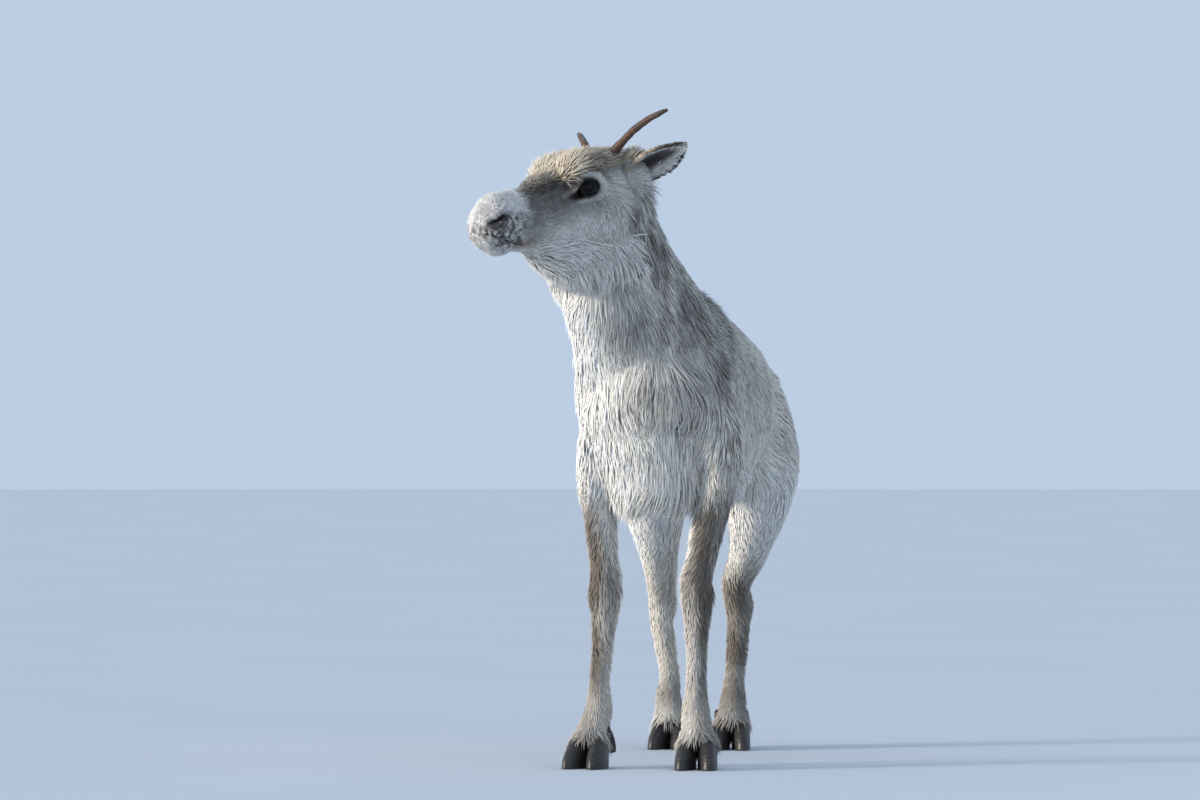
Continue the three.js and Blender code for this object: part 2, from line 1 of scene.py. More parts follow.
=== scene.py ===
"""The looks of the reindeer calf: skin, coat, the head's detail, ears, antlers, claws, light and camera.

Shapes are worked out in the drawing frame of the calf, in millimetres: it faces -Y, its left side is +X and
Z is up. They are moved to the row frame, in metres, when a mesh is made.
"""
import math

import bpy
import numpy as np
from mathutils import Matrix, Vector


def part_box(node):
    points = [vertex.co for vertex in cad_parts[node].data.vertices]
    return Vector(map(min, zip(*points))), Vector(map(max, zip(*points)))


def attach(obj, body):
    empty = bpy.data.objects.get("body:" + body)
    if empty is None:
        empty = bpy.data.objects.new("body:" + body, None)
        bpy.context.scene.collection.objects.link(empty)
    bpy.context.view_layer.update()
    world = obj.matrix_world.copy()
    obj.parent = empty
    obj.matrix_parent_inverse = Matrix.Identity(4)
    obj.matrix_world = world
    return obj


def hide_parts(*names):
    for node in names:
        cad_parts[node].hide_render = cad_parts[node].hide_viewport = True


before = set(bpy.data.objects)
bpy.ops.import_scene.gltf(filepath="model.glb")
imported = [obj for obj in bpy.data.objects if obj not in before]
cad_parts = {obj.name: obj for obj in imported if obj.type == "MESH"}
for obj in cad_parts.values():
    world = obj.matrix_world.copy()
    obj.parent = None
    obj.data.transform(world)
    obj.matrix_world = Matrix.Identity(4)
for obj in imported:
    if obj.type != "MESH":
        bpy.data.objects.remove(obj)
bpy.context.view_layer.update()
rng = np.random.default_rng(20)

# Carriage of the head, as in the solids
HEAD_BACK = np.array([-12.0, -385.0, 897.0])
HEAD_YAW = math.radians(-46)
HEAD_PITCH = math.radians(12)
HEAD_TURN = np.array(Matrix.Rotation(HEAD_YAW, 3, "Z") @ Matrix.Rotation(HEAD_PITCH, 3, "X"))
EYE_CENTRE = np.array([46.0, -110.0, 9.0])
EYE_RADIUS = 17.0
UP = np.array([0.0, 0.0, 1.0])
AHEAD = np.array([0.0, -1.0, 0.0])
LEFT = 1
RIGHT = -1
SIDES = {"left": LEFT, "right": RIGHT}
MM = 0.001


def to_calf(points):
    """From the head's own frame to the calf's."""
    return points @ HEAD_TURN.T + HEAD_BACK


def to_head(points):
    return (points - HEAD_BACK) @ HEAD_TURN


# Where the calf stands in the row frame, found from its left eye
eye_low, eye_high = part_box("eye_left")
eye_seen = (np.array(eye_low) + np.array(eye_high)) / 2 / MM
PLACE = eye_seen - to_calf(EYE_CENTRE)
PLACE[2] = 0.0


def to_row(points):
    return (points + PLACE) * MM


# Small mathematics
def unit(v):
    return v / np.maximum(np.linalg.norm(v, axis=-1, keepdims=True), 1e-9)


def dot(a, b):
    return np.sum(a * b, axis=-1, keepdims=True)


def blended(a, b, share):
    return a * (1 - share) + b * share


def ease(x, low, high):
    """0 below low, 1 above high, smooth between."""
    t = np.clip((x - low) / (high - low), 0, 1)
    return t * t * (3 - 2 * t)


def bump(x, middle, reach):
    """1 at middle, 0 at reach to either side."""
    return 1 - ease(np.abs(x - middle), 0, reach)


NOISE_WAVES = 7


def noise(points, scale, seed=0):
    """Smooth noise between about -1 and 1, from a few waves in seeded directions."""
    waves = np.random.default_rng(900 + seed)
    total = np.zeros(len(points))
    for _ in range(NOISE_WAVES):
        way = unit(waves.normal(size=3)) * (0.6 + 0.9 * waves.random())
        turned = points @ way / scale + 6.28 * waves.random()
        total += np.sin(turned * 2.2 + 1.3 * np.sin(points @ unit(waves.normal(size=3)) / scale))
    return total / 4.2


# Lofts: rows of x, y, z, half width, reach towards `toward`, reach away from it, turn about Z, squareness
def curve_at(rows, t):
    rows = np.asarray(rows, dtype=float)
    rows = np.vstack([2 * rows[0] - rows[1], rows, 2 * rows[-1] - rows[-2]])
    place = np.clip(t, 0, 1) * (len(rows) - 3)
    i = np.minimum(place.astype(int), len(rows) - 4)
    u = (place - i)[:, None]
    a, b, c, d = rows[i], rows[i + 1], rows[i + 2], rows[i + 3]
    start = (c - a) / 2
    end = (d - b) / 2
    return (2 * b - 2 * c + start + end) * u**3 + (-3 * b + 3 * c - 2 * start - end) * u**2 + start * u + b


def loft_rings(rows, toward, sides, count, inset):
    rows = np.asarray(rows, dtype=float)
    t = np.linspace(0, 1, count)
    at = curve_at(rows, t)
    after = curve_at(rows, np.minimum(t + 1e-4, 1))[:, :3]
    before = curve_at(rows, np.maximum(t - 1e-4, 0))[:, :3]
    along = unit(after - before)
    turn = np.radians(at[:, 6])
    fore = np.stack(
        [
            np.cos(turn) * toward[0] - np.sin(turn) * toward[1],
            np.sin(turn) * toward[0] + np.cos(turn) * toward[1],
            np.full(count, toward[2]),
        ],
        axis=1,
    )
    fore = unit(fore - along * dot(fore, along))
    side = np.cross(fore, along)
    angle = np.linspace(0, 2 * math.pi, sides, endpoint=False)
    c = np.cos(angle)[None, :]
    s = np.sin(angle)[None, :]
    square = at[:, 7:8]
    deep = np.interp(t, np.linspace(0, 1, len(inset)), inset)[:, None]
    across = (at[:, 3:4] - deep) * np.sign(c) * np.abs(c) ** square
    reach = (np.where(s > 0, at[:, 4:5], at[:, 5:6]) - deep) * np.sign(s) * np.abs(s) ** square
    return at[:, None, :3] + across[..., None] * side[:, None, :] + reach[..., None] * fore[:, None, :]


def skin_of(rings, caps=(0.0, 0.0)):
    """Points and faces of a closed skin over a row of rings."""
    count, sides = rings.shape[:2]
    grid = np.arange(count * sides).reshape(count, sides)
    nxt = np.roll(grid, -1, axis=1)
    quads = np.stack([grid[:-1], nxt[:-1], nxt[1:], grid[1:]], axis=-1).reshape(-1, 4)
    middle = rings.mean(axis=1)
    first = middle[0] + unit(middle[0] - middle[1]) * caps[0]
    last = middle[-1] + unit(middle[-1] - middle[-2]) * caps[1]
    points = np.vstack([rings.reshape(-1, 3), first, last])
    faces = quads.tolist()
    for j in range(sides):
        faces.append([len(points) - 2, int(nxt[0, j]), int(grid[0, j])])
        faces.append([len(points) - 1, int(grid[-1, j]), int(nxt[-1, j])])
    return points, faces


def ball(centre, radii, rows=24, sides=32):
    lat = np.linspace(0.02, math.pi - 0.02, rows)
    lon = np.linspace(0, 2 * math.pi, sides, endpoint=False)
    rings = np.stack(
        [
            np.sin(lat)[:, None] * np.cos(lon)[None, :],
            np.sin(lat)[:, None] * np.sin(lon)[None, :],
            np.repeat(np.cos(lat)[:, None], sides, axis=1),
        ],
        axis=-1,
    )
    return skin_of(rings * np.asarray(radii, dtype=float) + np.asarray(centre, dtype=float))


# Meshes
def placed(data):
    """An object of the scene that shows a mesh, a light or a camera."""
    obj = bpy.data.objects.new(data.name, data)
    bpy.context.scene.collection.objects.link(obj)
    return obj


def make(name, points, faces, place=to_row, smooth=True):
    mesh = bpy.data.meshes.new(name)
    mesh.from_pydata(place(np.asarray(points, dtype=float)).tolist(), [], faces)
    mesh.update()
    if smooth:
        mesh.polygons.foreach_set("use_smooth", np.ones(len(mesh.polygons), dtype=bool))
    return placed(mesh)


def joined(shells):
    """Several closed shells as one list of points and faces."""
    points = []
    faces = []
    start = 0
    for shell_points, shell_faces in shells:
        points.append(shell_points)
        faces += [[start + i for i in face] for face in shell_faces]
        start += len(shell_points)
    return np.vstack(points), faces


def applied(obj):
    """The object's mesh with its modifiers worked in."""
    graph = bpy.context.evaluated_depsgraph_get()
    mesh = bpy.data.meshes.new_from_object(obj.evaluated_get(graph))
    old = obj.data
    obj.modifiers.clear()
    obj.data = mesh
    bpy.data.meshes.remove(old)
    mesh.polygons.foreach_set("use_smooth", np.ones(len(mesh.polygons), dtype=bool))
    return obj


def softened(obj, rounds, weights=None):
    """Smooths a mesh, by the weight of each of its points where weights are given."""
    soft = obj.modifiers.new("soften", "SMOOTH")
    soft.factor = 0.5
    soft.iterations = rounds
    if weights is not None:
        group = obj.vertex_groups.new(name="soft")
        for i, weight in enumerate(weights):
            group.add([i], float(weight), "REPLACE")
        soft.vertex_group = group.name
    applied(obj)
    obj.vertex_groups.clear()


def fused(name, shells, voxel):
    """One skin round several closed shells."""
    obj = make(name, *joined(shells))
    remesh = obj.modifiers.new("fuse", "REMESH")
    remesh.mode = "VOXEL"
    remesh.voxel_size = voxel * MM
    return applied(obj)


def points_of(obj):
    """A mesh's points in the calf's frame, in millimetres."""
    out = np.empty(len(obj.data.vertices) * 3)
    obj.data.vertices.foreach_get("co", out)
    return out.reshape(-1, 3) / MM - PLACE


def set_points(obj, points):
    obj.data.vertices.foreach_set("co", to_row(points).ravel())
    obj.data.update()


# Body stations: y, middle height, half width, back, belly, squareness, x
def trunk_row(y, middle, wide, rise, drop, square=0.92, x=0):
    return [x, y, middle, wide, rise - middle, middle - drop, 0, square]


TRUNK = [
    trunk_row(-350, 560, 54, 618, 495),
    trunk_row(-325, 572, 96, 668, 452),
    trunk_row(-275, 582, 122, 715, 420),
    trunk_row(-215, 585, 128, 745, 411),
    trunk_row(-140, 585, 130, 762, 405),
    trunk_row(-40, 580, 136, 748, 398),
    trunk_row(60, 570, 140, 730, 392),
    trunk_row(160, 565, 132, 712, 412),
    trunk_row(250, 570, 120, 702, 430, 0.92, -4),
    trunk_row(330, 572, 104, 688, 462, 0.92, -6),
    trunk_row(395, 570, 82, 658, 490, 0.95, -6),
    trunk_row(430, 568, 48, 622, 520, 1, -6),
]
NECK = [
    [0, -195, 610, 104, 134, 110, 0, 1],
    [-10, -235, 665, 104, 130, 96, -10, 1],
    [-20, -272, 720, 96, 124, 84, -24, 1],
    [-32, -306, 772, 84, 122, 74, -36, 1],
    [-40, -340, 820, 72, 126, 66, -44, 1],
    [-42, -366, 860, 60, 112, 58, -46, 1],
    [-36, -388, 896, 44, 50, 46, -46, 1],
]
TAIL = [
    [-6, 412, 650, 20, 16, 16, 0, 1],
    [-6, 444, 636, 25, 18, 18, 0, 1],
    [-6, 462, 600, 27, 17, 18, 0, 1],
    [-6, 468, 562, 20, 13, 14, 0, 1],
    [-6, 468, 534, 9, 7, 7, 0, 1],
]


def mix(a, b, share):
    return a + (b - a) * share


def leg_row(x, y, z, wide, fore, aft):
    return [x, y, z, wide, fore, aft, 0, 1]


def front_leg(shoulder, elbow, knee, ankle, foot):
    return [
        leg_row(shoulder, -232, 640, 32, 44, 50),
        leg_row(shoulder + 8, -250, 570, 42, 64, 66),
        leg_row(elbow + 6, -255, 500, 42, 60, 62),
        leg_row(elbow, -252, 440, 33, 44, 50),
        leg_row(mix(elbow, knee, 0.35), -256, 390, 27, 34, 40),
        leg_row(mix(elbow, knee, 0.7), -266, 335, 24, 28, 31),
        leg_row(knee, -274, 296, 25, 25, 25),
        leg_row(knee, -277, 268, 27, 27, 25),
        leg_row(knee, -276, 238, 23, 23, 23),
        leg_row(mix(knee, ankle, 0.5), -277, 190, 18, 18, 20),
        leg_row(ankle, -280, 130, 18, 18, 20),
        leg_row(ankle, -285, 92, 23, 22, 25),
        leg_row(mix(ankle, foot, 0.5), -298, 62, 27, 22, 27),
        leg_row(foot, -312, 34, 34, 32, 30),
    ]


def hind_leg(hip, stifle, hock, ankle, foot):
    return [
        leg_row(hip, 300, 620, 44, 70, 104),
        leg_row(hip + 8, 280, 560, 60, 96, 134),
        leg_row(stifle, 262, 490, 62, 96, 138),
        leg_row(stifle, 256, 440, 58, 84, 122),
        leg_row(mix(stifle, hock, 0.2), 268, 385, 48, 62, 90),
        leg_row(mix(stifle, hock, 0.55), 298, 325, 34, 42, 56),
        leg_row(hock, 326, 272, 25, 28, 38),
        leg_row(hock, 338, 236, 24, 28, 34),
        leg_row(hock, 334, 206, 20, 24, 27),
        leg_row(mix(hock, ankle, 0.5), 316, 160, 18, 19, 21),
        leg_row(ankle, 298, 116, 18, 18, 20),
        leg_row(ankle, 286, 86, 22, 21, 25),
        leg_row(mix(ankle, foot, 0.5), 268, 60, 26, 22, 27),
        leg_row(foot, 252, 34, 32, 32, 30),
    ]


LEGS = {
    "front_left": {"rows": front_leg(84, 100, 73, 72, 80), "foot": (80, -324), "splay": 4},
    "front_right": {"rows": front_leg(-84, -90, -72, -80, -90), "foot": (-90, -324), "splay": -12},
    "hind_left": {"rows": hind_leg(62, 86, 34, 34, 36), "foot": (36, 246), "splay": 6},
    "hind_right": {"rows": hind_leg(-70, -92, -94, -74, -64), "foot": (-64, 246), "splay": -6},
}
SKULL = [
    [0, -2, 0, 40, 36, 50, 0, 1],
    [0, -24, 0, 54, 50, 84, 0, 0.9],
    [0, -58, 0, 60, 58, 100, 0, 0.9],
    [0, -92, 0, 61, 58, 102, 0, 0.9],
    [0, -122, -2, 55, 50, 96, 0, 0.9],
    [0, -152, -5, 46, 41, 82, 0, 0.9],
    [0, -186, -8, 39, 38, 68, 0, 0.9],
    [0, -220, -10, 37, 42, 58, 0, 0.9],
    [0, -248, -10, 39, 46, 53, 0, 0.9],
    [0, -268, -8, 37, 41, 48, 0, 0.9],
    [0, -281, -4, 25, 27, 33, 0, 1],
]

# The breast: what joins the neck to the brisket under the coat
BREAST = [
    [0, -240, 434, 66, 66, 60, 0, 1],
    [0, -240, 480, 96, 96, 60, 0, 1],
    [-2, -240, 540, 110, 114, 60, 0, 1],
    [-6, -242, 600, 114, 120, 60, -4, 1],
    [-10, -248, 660, 110, 122, 60, -12, 1],
    [-16, -262, 715, 100, 122, 60, -24, 1],
    [-24, -282, 765, 84, 116, 60, -36, 1],
]
# Under the jaw, in the head's frame: what joins it to the neck
GULLET = [
    [0, -212, -48, 20, 14, 16, 0, 1],
    [0, -178, -63, 32, 26, 29, 0, 1],
    [0, -142, -80, 42, 38, 38, 0, 1],
    [0, -104, -94, 50, 50, 38, 0, 1],
    [0, -66, -96, 52, 56, 36, 0, 1],
    [0, -40, -94, 50, 58, 34, 0, 1],
]
# The throat, which carries the line of the jaw down to the breast
THROAT = [
    [-72, -392, 815, 46, 48, 60, 0, 1],
    [-68, -384, 780, 54, 52, 60, 0, 1],
    [-58, -368, 740, 62, 55, 60, 0, 1],
    [-44, -345, 700, 72, 58, 60, 0, 1],
    [-28, -318, 655, 84, 58, 60, 0, 1],
    [-14, -285, 600, 90, 58, 60, 0, 1],
]

# How deep the coat is over the skin, station by station
TRUNK_COAT = [15, 15, 15, 17, 20, 23, 23, 19, 15, 15, 15, 15]
NECK_COAT = [9, 8, 8, 9, 9, 9, 9]
BREAST_COAT = [9]
THROAT_COAT = [4]
TAIL_COAT = [7]
LEG_COAT = [15, 15, 14, 10, 6, 4, 3, 3, 2.5, 2.5, 2.5, 2.5, 3, 3]
HEAD_COAT = [10, 9, 8, 6, 5, 4, 3, 3, 2.5, 2.5, 2.5]
JAW_COAT = [2]
BURIED_SKULL_COAT = [14]
BURIED_JAW_COAT = [4]

# The body's skin
WITHERS = ([0, -190, 640], [110, 78, 92])
BODY_VOXEL = 4.0


def from_head(shell):
    """A shell drawn in the head's frame, moved to the calf's."""
    points, faces = shell
    return to_calf(points), faces


body_shells = [
    skin_of(loft_rings(TRUNK, UP, 48, 90, TRUNK_COAT), (4, 6)),
    skin_of(loft_rings(NECK, AHEAD, 44, 60, NECK_COAT)),
    skin_of(loft_rings(BREAST, AHEAD, 44, 60, BREAST_COAT), (6, 0)),
    skin_of(loft_rings(TAIL, AHEAD, 24, 40, TAIL_COAT), (0, 2)),
    skin_of(loft_rings(THROAT, AHEAD, 40, 50, THROAT_COAT)),
]
for leg in LEGS.values():
    body_shells.append(skin_of(loft_rings(leg["rows"], AHEAD, 32, 160, LEG_COAT)))
body_shells.append(from_head(skin_of(loft_rings(SKULL[:6], UP, 30, 40, BURIED_SKULL_COAT))))
body_shells.append(ball(*WITHERS))
body_shells.append(from_head(skin_of(loft_rings(GULLET, UP, 30, 40, BURIED_JAW_COAT))))

JOINT_MIDDLE = np.array([-10.0, -230.0, 680.0])
JOINT_REACH = 260.0
BRISKET = 430.0


def trunk_softness(p):
    """Little on the legs, full on the trunk."""
    return 0.12 + 0.88 * ease(p[:, 2], 330, 470)


def joint_softness(p):
    """Most where the neck meets the breast."""
    near = np.linalg.norm(p - JOINT_MIDDLE, axis=1) / JOINT_REACH
    return np.clip(1.6 * (1 - near), 0, 1) * (p[:, 2] > BRISKET)


def jaw_softness(p):
    """Under the jaw, fading out towards the chin."""
    local = to_head(p)
    return np.clip((-35 - local[:, 2]) / 25, 0, 1) * np.clip((215 + local[:, 1]) / 40, 0, 1)


body = fused("skin_body", body_shells, BODY_VOXEL)
softened(body, 26, trunk_softness(points_of(body)))
softened(body, 150, joint_softness(points_of(body)))

# The head's skin, finer: balls for what stands out of the skull, on both sides
HEAD_VOXEL = 1.9
BROW = ([30, -104, 24], [28, 40, 28])
WING = ([27, -256, -3], [12, 18, 10])
CHEEK = ([30, -70, -30], [27, 50, 44])
EAR_BED = ([40, -20, 14], [24, 22, 26])
CHIN = ([0, -252, -50], [26, 24, 14])
EAR_ROOT = np.array([46.0, -22.0, 8.0])
MUZZLE_TOP_LOWERED = (4, 7, 5)
skull_skin = [list(row) for row in SKULL]
for row, lowered in zip(skull_skin[-3:], MUZZLE_TOP_LOWERED):
    row[4] -= lowered
head_shells = [
    skin_of(loft_rings(skull_skin, UP, 64, 150, HEAD_COAT), (4, 7)),
    skin_of(loft_rings(GULLET, UP, 40, 60, JAW_COAT)),
]
for side in (LEFT, RIGHT):
    for centre, radii in (BROW, WING, CHEEK, EAR_BED):
        head_shells.append(ball([centre[0] * side, centre[1], centre[2]], radii))
head_shells.append(ball(*CHIN))
head = fused("skin_head", [from_head(shell) for shell in head_shells], HEAD_VOXEL)
softened(head, 14)
softened(head, 120, jaw_softness(points_of(head)))

# Lids, nostrils and mouth, pressed and raised in the head's skin
LID_AHEAD = 18.5
LID_BEHIND = 16.5
LID_ABOVE = 12.0
LID_BELOW = 9.5
TEAR = 15.0
EYE_REGION = 42.0
EYE_BED_DEPTH = 4.5
LID_THICK = 1.6
NOSTRIL = np.array([29.0, -266.0, -8.0])
NOSTRIL_TILT = math.radians(-24)
NOSTRIL_LONG = 16.0
NOSTRIL_TALL = 5.4
NOSTRIL_DEEP = 11.0
NOSTRIL_RIM = 2.2
MUZZLE_MIDDLE = np.array([0, -255, -6])
MOUTH = np.array([[219, -57], [238, -50], [256, -41], [278, -29.5], [300, -20]], dtype=float)
MOUTH_FRONT = 290.0
MOUTH_DEEP = 3.4
LIP_RISE = 1.5
TEAR_HOLLOW = np.array([50.0, -146.0, 2.0])
TEAR_HOLLOW_DEEP = 2.6


def eye_frame(local, side):
    """Ahead of, above and outward from the eye's centre."""
    ahead = -(local[:, 1] - EYE_CENTRE[1])
    above = local[:, 2] - EYE_CENTRE[2]
    out = local[:, 0] * side - EYE_CENTRE[0]
    return ahead, above, out


def lid_measure(ahead, above):
    """Below 1 inside the opening of the lids, which runs to a tear corner ahead."""
    drop = TEAR * 0.55 * ease(ahead, 4, 26)
    long = np.where(ahead > 0, LID_AHEAD + TEAR * 0.5, LID_BEHIND)
    tall = np.where(above + drop > 0, LID_ABOVE, LID_BELOW) * (1 - 0.45 * ease(ahead, 6, 26))
    return np.sqrt((ahead / long) ** 2 + ((above + drop) / tall) ** 2)


def mouth_distance(local):
    """How far each point is above the mouth line, and how far along it: 0 in front, 1 at the corner."""
    ahead = -local[:, 1]
    line = np.interp(ahead, MOUTH[:, 0], MOUTH[:, 1])
    along = 1 - np.clip((ahead - MOUTH[0, 0]) / (MOUTH_FRONT - MOUTH[0, 0]), -0.5, 1)
    return local[:, 2] - line, along


def shape_eye(local, side):
    """Lids that hug the eyeball, with a rim and a fold above, and a bed for the eyeball inside them."""
    ahead, above, out = eye_frame(local, side)
    flat = np.sqrt(ahead**2 + above**2)
    near = (flat < EYE_REGION) & (out > -20)
    measure = lid_measure(ahead, above)
    ball_out = np.sqrt(np.maximum(EYE_RADIUS**2 - np.minimum(flat, EYE_RADIUS * 0.97) ** 2, 0))
    lid_out = ball_out + LID_THICK + 1.6 * bump(measure, 1.18, 0.3)
    lid_out = lid_out + 1.4 * bump(measure, 1.4, 0.3) * (above > 0)
    inside = 1 - ease(measure, 0.97, 1.05)
    hold = 1 - ease(measure, 1.25, 2.3)
    wanted = np.where(measure < 1.3, np.maximum(lid_out, 0), np.maximum(lid_out * 0.8, 1))
    moved = out + (wanted - out) * hold * 0.9
    moved = moved * (1 - inside) + (ball_out - EYE_BED_DEPTH) * inside
    fold = 1.1 * bump(measure, 1.75, 0.22) * (above > 0)
    local[near, 0] = (moved - fold)[near] * side + EYE_CENTRE[0] * side


def shape_nostril(local, side):
    """A comma-shaped slit with a raised rim."""
    rel = local - NOSTRIL * [side, 1, 1]
    long = -rel[:, 1] * math.cos(NOSTRIL_TILT) + rel[:, 2] * math.sin(NOSTRIL_TILT)
    tall = rel[:, 1] * math.sin(NOSTRIL_TILT) + rel[:, 2] * math.cos(NOSTRIL_TILT) - 0.014 * long**2
    slit = np.sqrt((long / NOSTRIL_LONG) ** 2 + (tall / NOSTRIL_TALL) ** 2)
    here = (rel[:, 0] * side > -16) & (slit < 2.4)
    deep = NOSTRIL_DEEP * (1 - ease(slit, 0.35, 1.0))
    rim = NOSTRIL_RIM * bump(slit, 1.45, 0.6)
    outward = unit(local - MUZZLE_MIDDLE)
    local[here] += outward[here] * (rim - deep)[here, None]


def shape_mouth(local):
    """The mouth line with a lip above and below it."""
    gap, along = mouth_distance(local)
    here = (-local[:, 1] > 212) & (np.abs(gap) < 14)
    deep = MOUTH_DEEP * (1 - ease(np.abs(gap), 0.2, 2.4)) * (1 - ease(along, 0.96, 1.08))
    lips = LIP_RISE * bump(np.abs(gap), 5.0, 4.4) * (1 - ease(along, 0.85, 1.05))
    axis = np.array([0.0, 1.0, 0.0]) * np.maximum(local[:, 1], -262)[:, None] - [0.0, 0.0, 20.0]
    outward = unit(local - axis)
    local[here] += outward[here] * (lips - deep)[here, None]


def shape_tear_hollow(local, side):
    """A shallow hollow ahead of the eye."""
    rel = local - TEAR_HOLLOW * [side, 1, 1]
    fade = np.exp(-(rel[:, 1] / 17) ** 2 - (rel[:, 2] / 12) ** 2)
    local[:, 0] -= side * TEAR_HOLLOW_DEEP * fade * (rel[:, 0] * side > -25)


head_points = to_head(points_of(head))
for side in (LEFT, RIGHT):
    shape_eye(head_points, side)
for side in (LEFT, RIGHT):
    shape_nostril(head_points, side)
shape_mouth(head_points)
for side in (LEFT, RIGHT):
    shape_tear_hollow(head_points, side)
set_points(head, to_calf(head_points))


# Markings, shared by skin and coat
def srgb(code):
    """A linear colour from a hex code."""
    raw = np.array([int(code[i : i + 2], 16) for i in (0, 2, 4)]) / 255
    return np.where(raw <= 0.04045, raw / 12.92, ((raw + 0.055) / 1.055) ** 2.4)


CREAM = srgb("efe8dc")
WHITE = srgb("f6f2ea")
GREY = srgb("8e8b87")
BROWN = srgb("736a60")
DARK = srgb("4c443d")
BEIGE = srgb("ead9c0")
FROST = srgb("e6e4e1")
BLACKISH = srgb("2c2723")
TAN = srgb("7b5a3c")
HEAD_MIDDLE = np.array([0.0, -130.0, -20.0])
HEAD_REACH = np.array([95.0, 190.0, 110.0])


def layered(base, *layers):
    """Colours or directions laid over a base one after another, each by its share."""
    for value, share in layers:
        base = blended(base, value, np.clip(share, 0, 1)[:, None])
    return base


def spot(*offsets):
    """1 at the middle, fading out with the offsets, which are distances over their reach."""
    return np.exp(-sum(offset**2 for offset in offsets))


def top_line(ahead):
    """Height of the head's upper outline along it."""
    return np.interp(ahead, [0, 60, 110, 150, 200, 240], [44, 50, 50, 36, 29, 30])


def leg_mask(p):
    return 1 - ease(p[:, 2], 395, 470)


def hair_streaks(p):
    return noise(p * [1.0, 0.8, 0.28], 13, 2)


def trunk_colours(p):
    """Grey wash over the back and flanks, pale belly and chest, streaks that run down."""
    x, y, z = p.T
    streak = hair_streaks(p)
    broad = noise(p, 60, 3)
    back = ease(z, 600, 735) * ease(y, -330, -190)
    side_way = np.maximum(ease(x, 50, 115), ease(-x, 80, 125) * ease(y, -200, -80))
    flank = bump(z, 600, 150) * side_way * ease(y, -330, -240)
    neck_side = ease(z, 560, 660) * ease(x + 0.35 * (z - 640), -64, 20) * (1 - ease(y, -220, -90))
    lines = np.clip(noise(p * [1.0, 0.7, 0.16], 7, 21), 0, 1) * ease(x, -80, 0) * ease(z, 430, 520)
    neck_back = ease(z, 600, 680) * ease(y + 0.75 * (z - 640), -190, -90) * (y < -100)
    nape = ease(z, 650, 760) * ease(y + 0.55 * (z - 700), -240, -190)
    throat = ease(z, 420, 520) * (1 - ease(x + 0.2 * (z - 640), -70, 20)) * (1 - ease(y, -290, -170))
    belly = (1 - ease(z, 420, 500)) * (z > 380)
    rump = spot((y - 330) / 60, (z - 520) / 65) * ease(np.abs(x), 60, 110)
    thigh = spot((y - 385) / 36, (z - 440) / 34) * ease(np.abs(x), 70, 100)
    elbow = spot((y + 262) / 60, (z - 412) / 74) * ease(x, 92, 118)
    haunch = ease(y, 130, 220) * (1 - ease(z, 440, 500)) * ease(z, 300, 360)
    seat = ease(y, 400, 440) * ease(z, 480, 540)
    return layered(
        CREAM,
        (GREY, 0.6 * back + 0.1 * broad * back),
        (GREY, 0.4 * flank * (1 + 0.4 * broad)),
        (GREY, 0.3 * np.clip(streak, 0, 1) * ease(z, 400, 520) * ease(x, -60, 60)),
        (GREY, 0.7 * neck_side * (1 + 0.6 * streak)),
        (BROWN, 0.72 * lines * (y < -120)),
        (GREY, 0.5 * neck_back),
        (BROWN, 0.35 * nape),
        (WHITE, 0.8 * throat),
        (WHITE, 0.55 * belly),
        (BROWN, 0.55 * rump),
        (BROWN, 0.6 * thigh),
        (DARK, 0.72 * elbow),
        (WHITE, 0.7 * haunch),
        (WHITE, 0.6 * seat),
    )


def with_legs(colour, p):
    """Grey-brown down the front and outside of the legs, pale inside and behind."""
    x, y, z = p.T
    streak = hair_streaks(p)
    leg = leg_mask(p)
    front = y < -60
    bone = np.where(x > 0, np.where(front, 78, 38), np.where(front, -77, -84))
    bone_y = np.interp(z, [86, 116, 160, 206, 236, 272, 325], [286, 298, 316, 334, 338, 326, 298])
    out_of_bone = (x - bone) * np.sign(bone)
    shade = (0.72 * ease(out_of_bone, -8, 10) + 0.66 * ease(-(y + 278), -4, 14)) * front
    shade = shade * (1 - 0.25 * (1 - ease(z, 250, 300)))
    hind_outer = (y > 60) * ease(out_of_bone, -8, 12) * (1 - ease(z, 250, 300))
    hind_front = (y > 60) * ease(bone_y - y, -8, 10) * (1 - ease(z, 262, 330))
    hind_shade = np.maximum(hind_outer, hind_front)
    return layered(
        colour,
        (BROWN, leg * (shade + 0.3 * streak * shade)),
        (BROWN, leg * 0.9 * hind_shade * (1 + 0.3 * streak) * np.where(x > 0, 1, 0.3)),
        (CREAM, leg * 0.35 * (1 - ease(z, 90, 150))),
        (DARK, leg * 0.55 * (1 - ease(z, 36, 62))),
        (BROWN, 0.6 * spot((z - 92) / 26) * (y > 0)),
    )


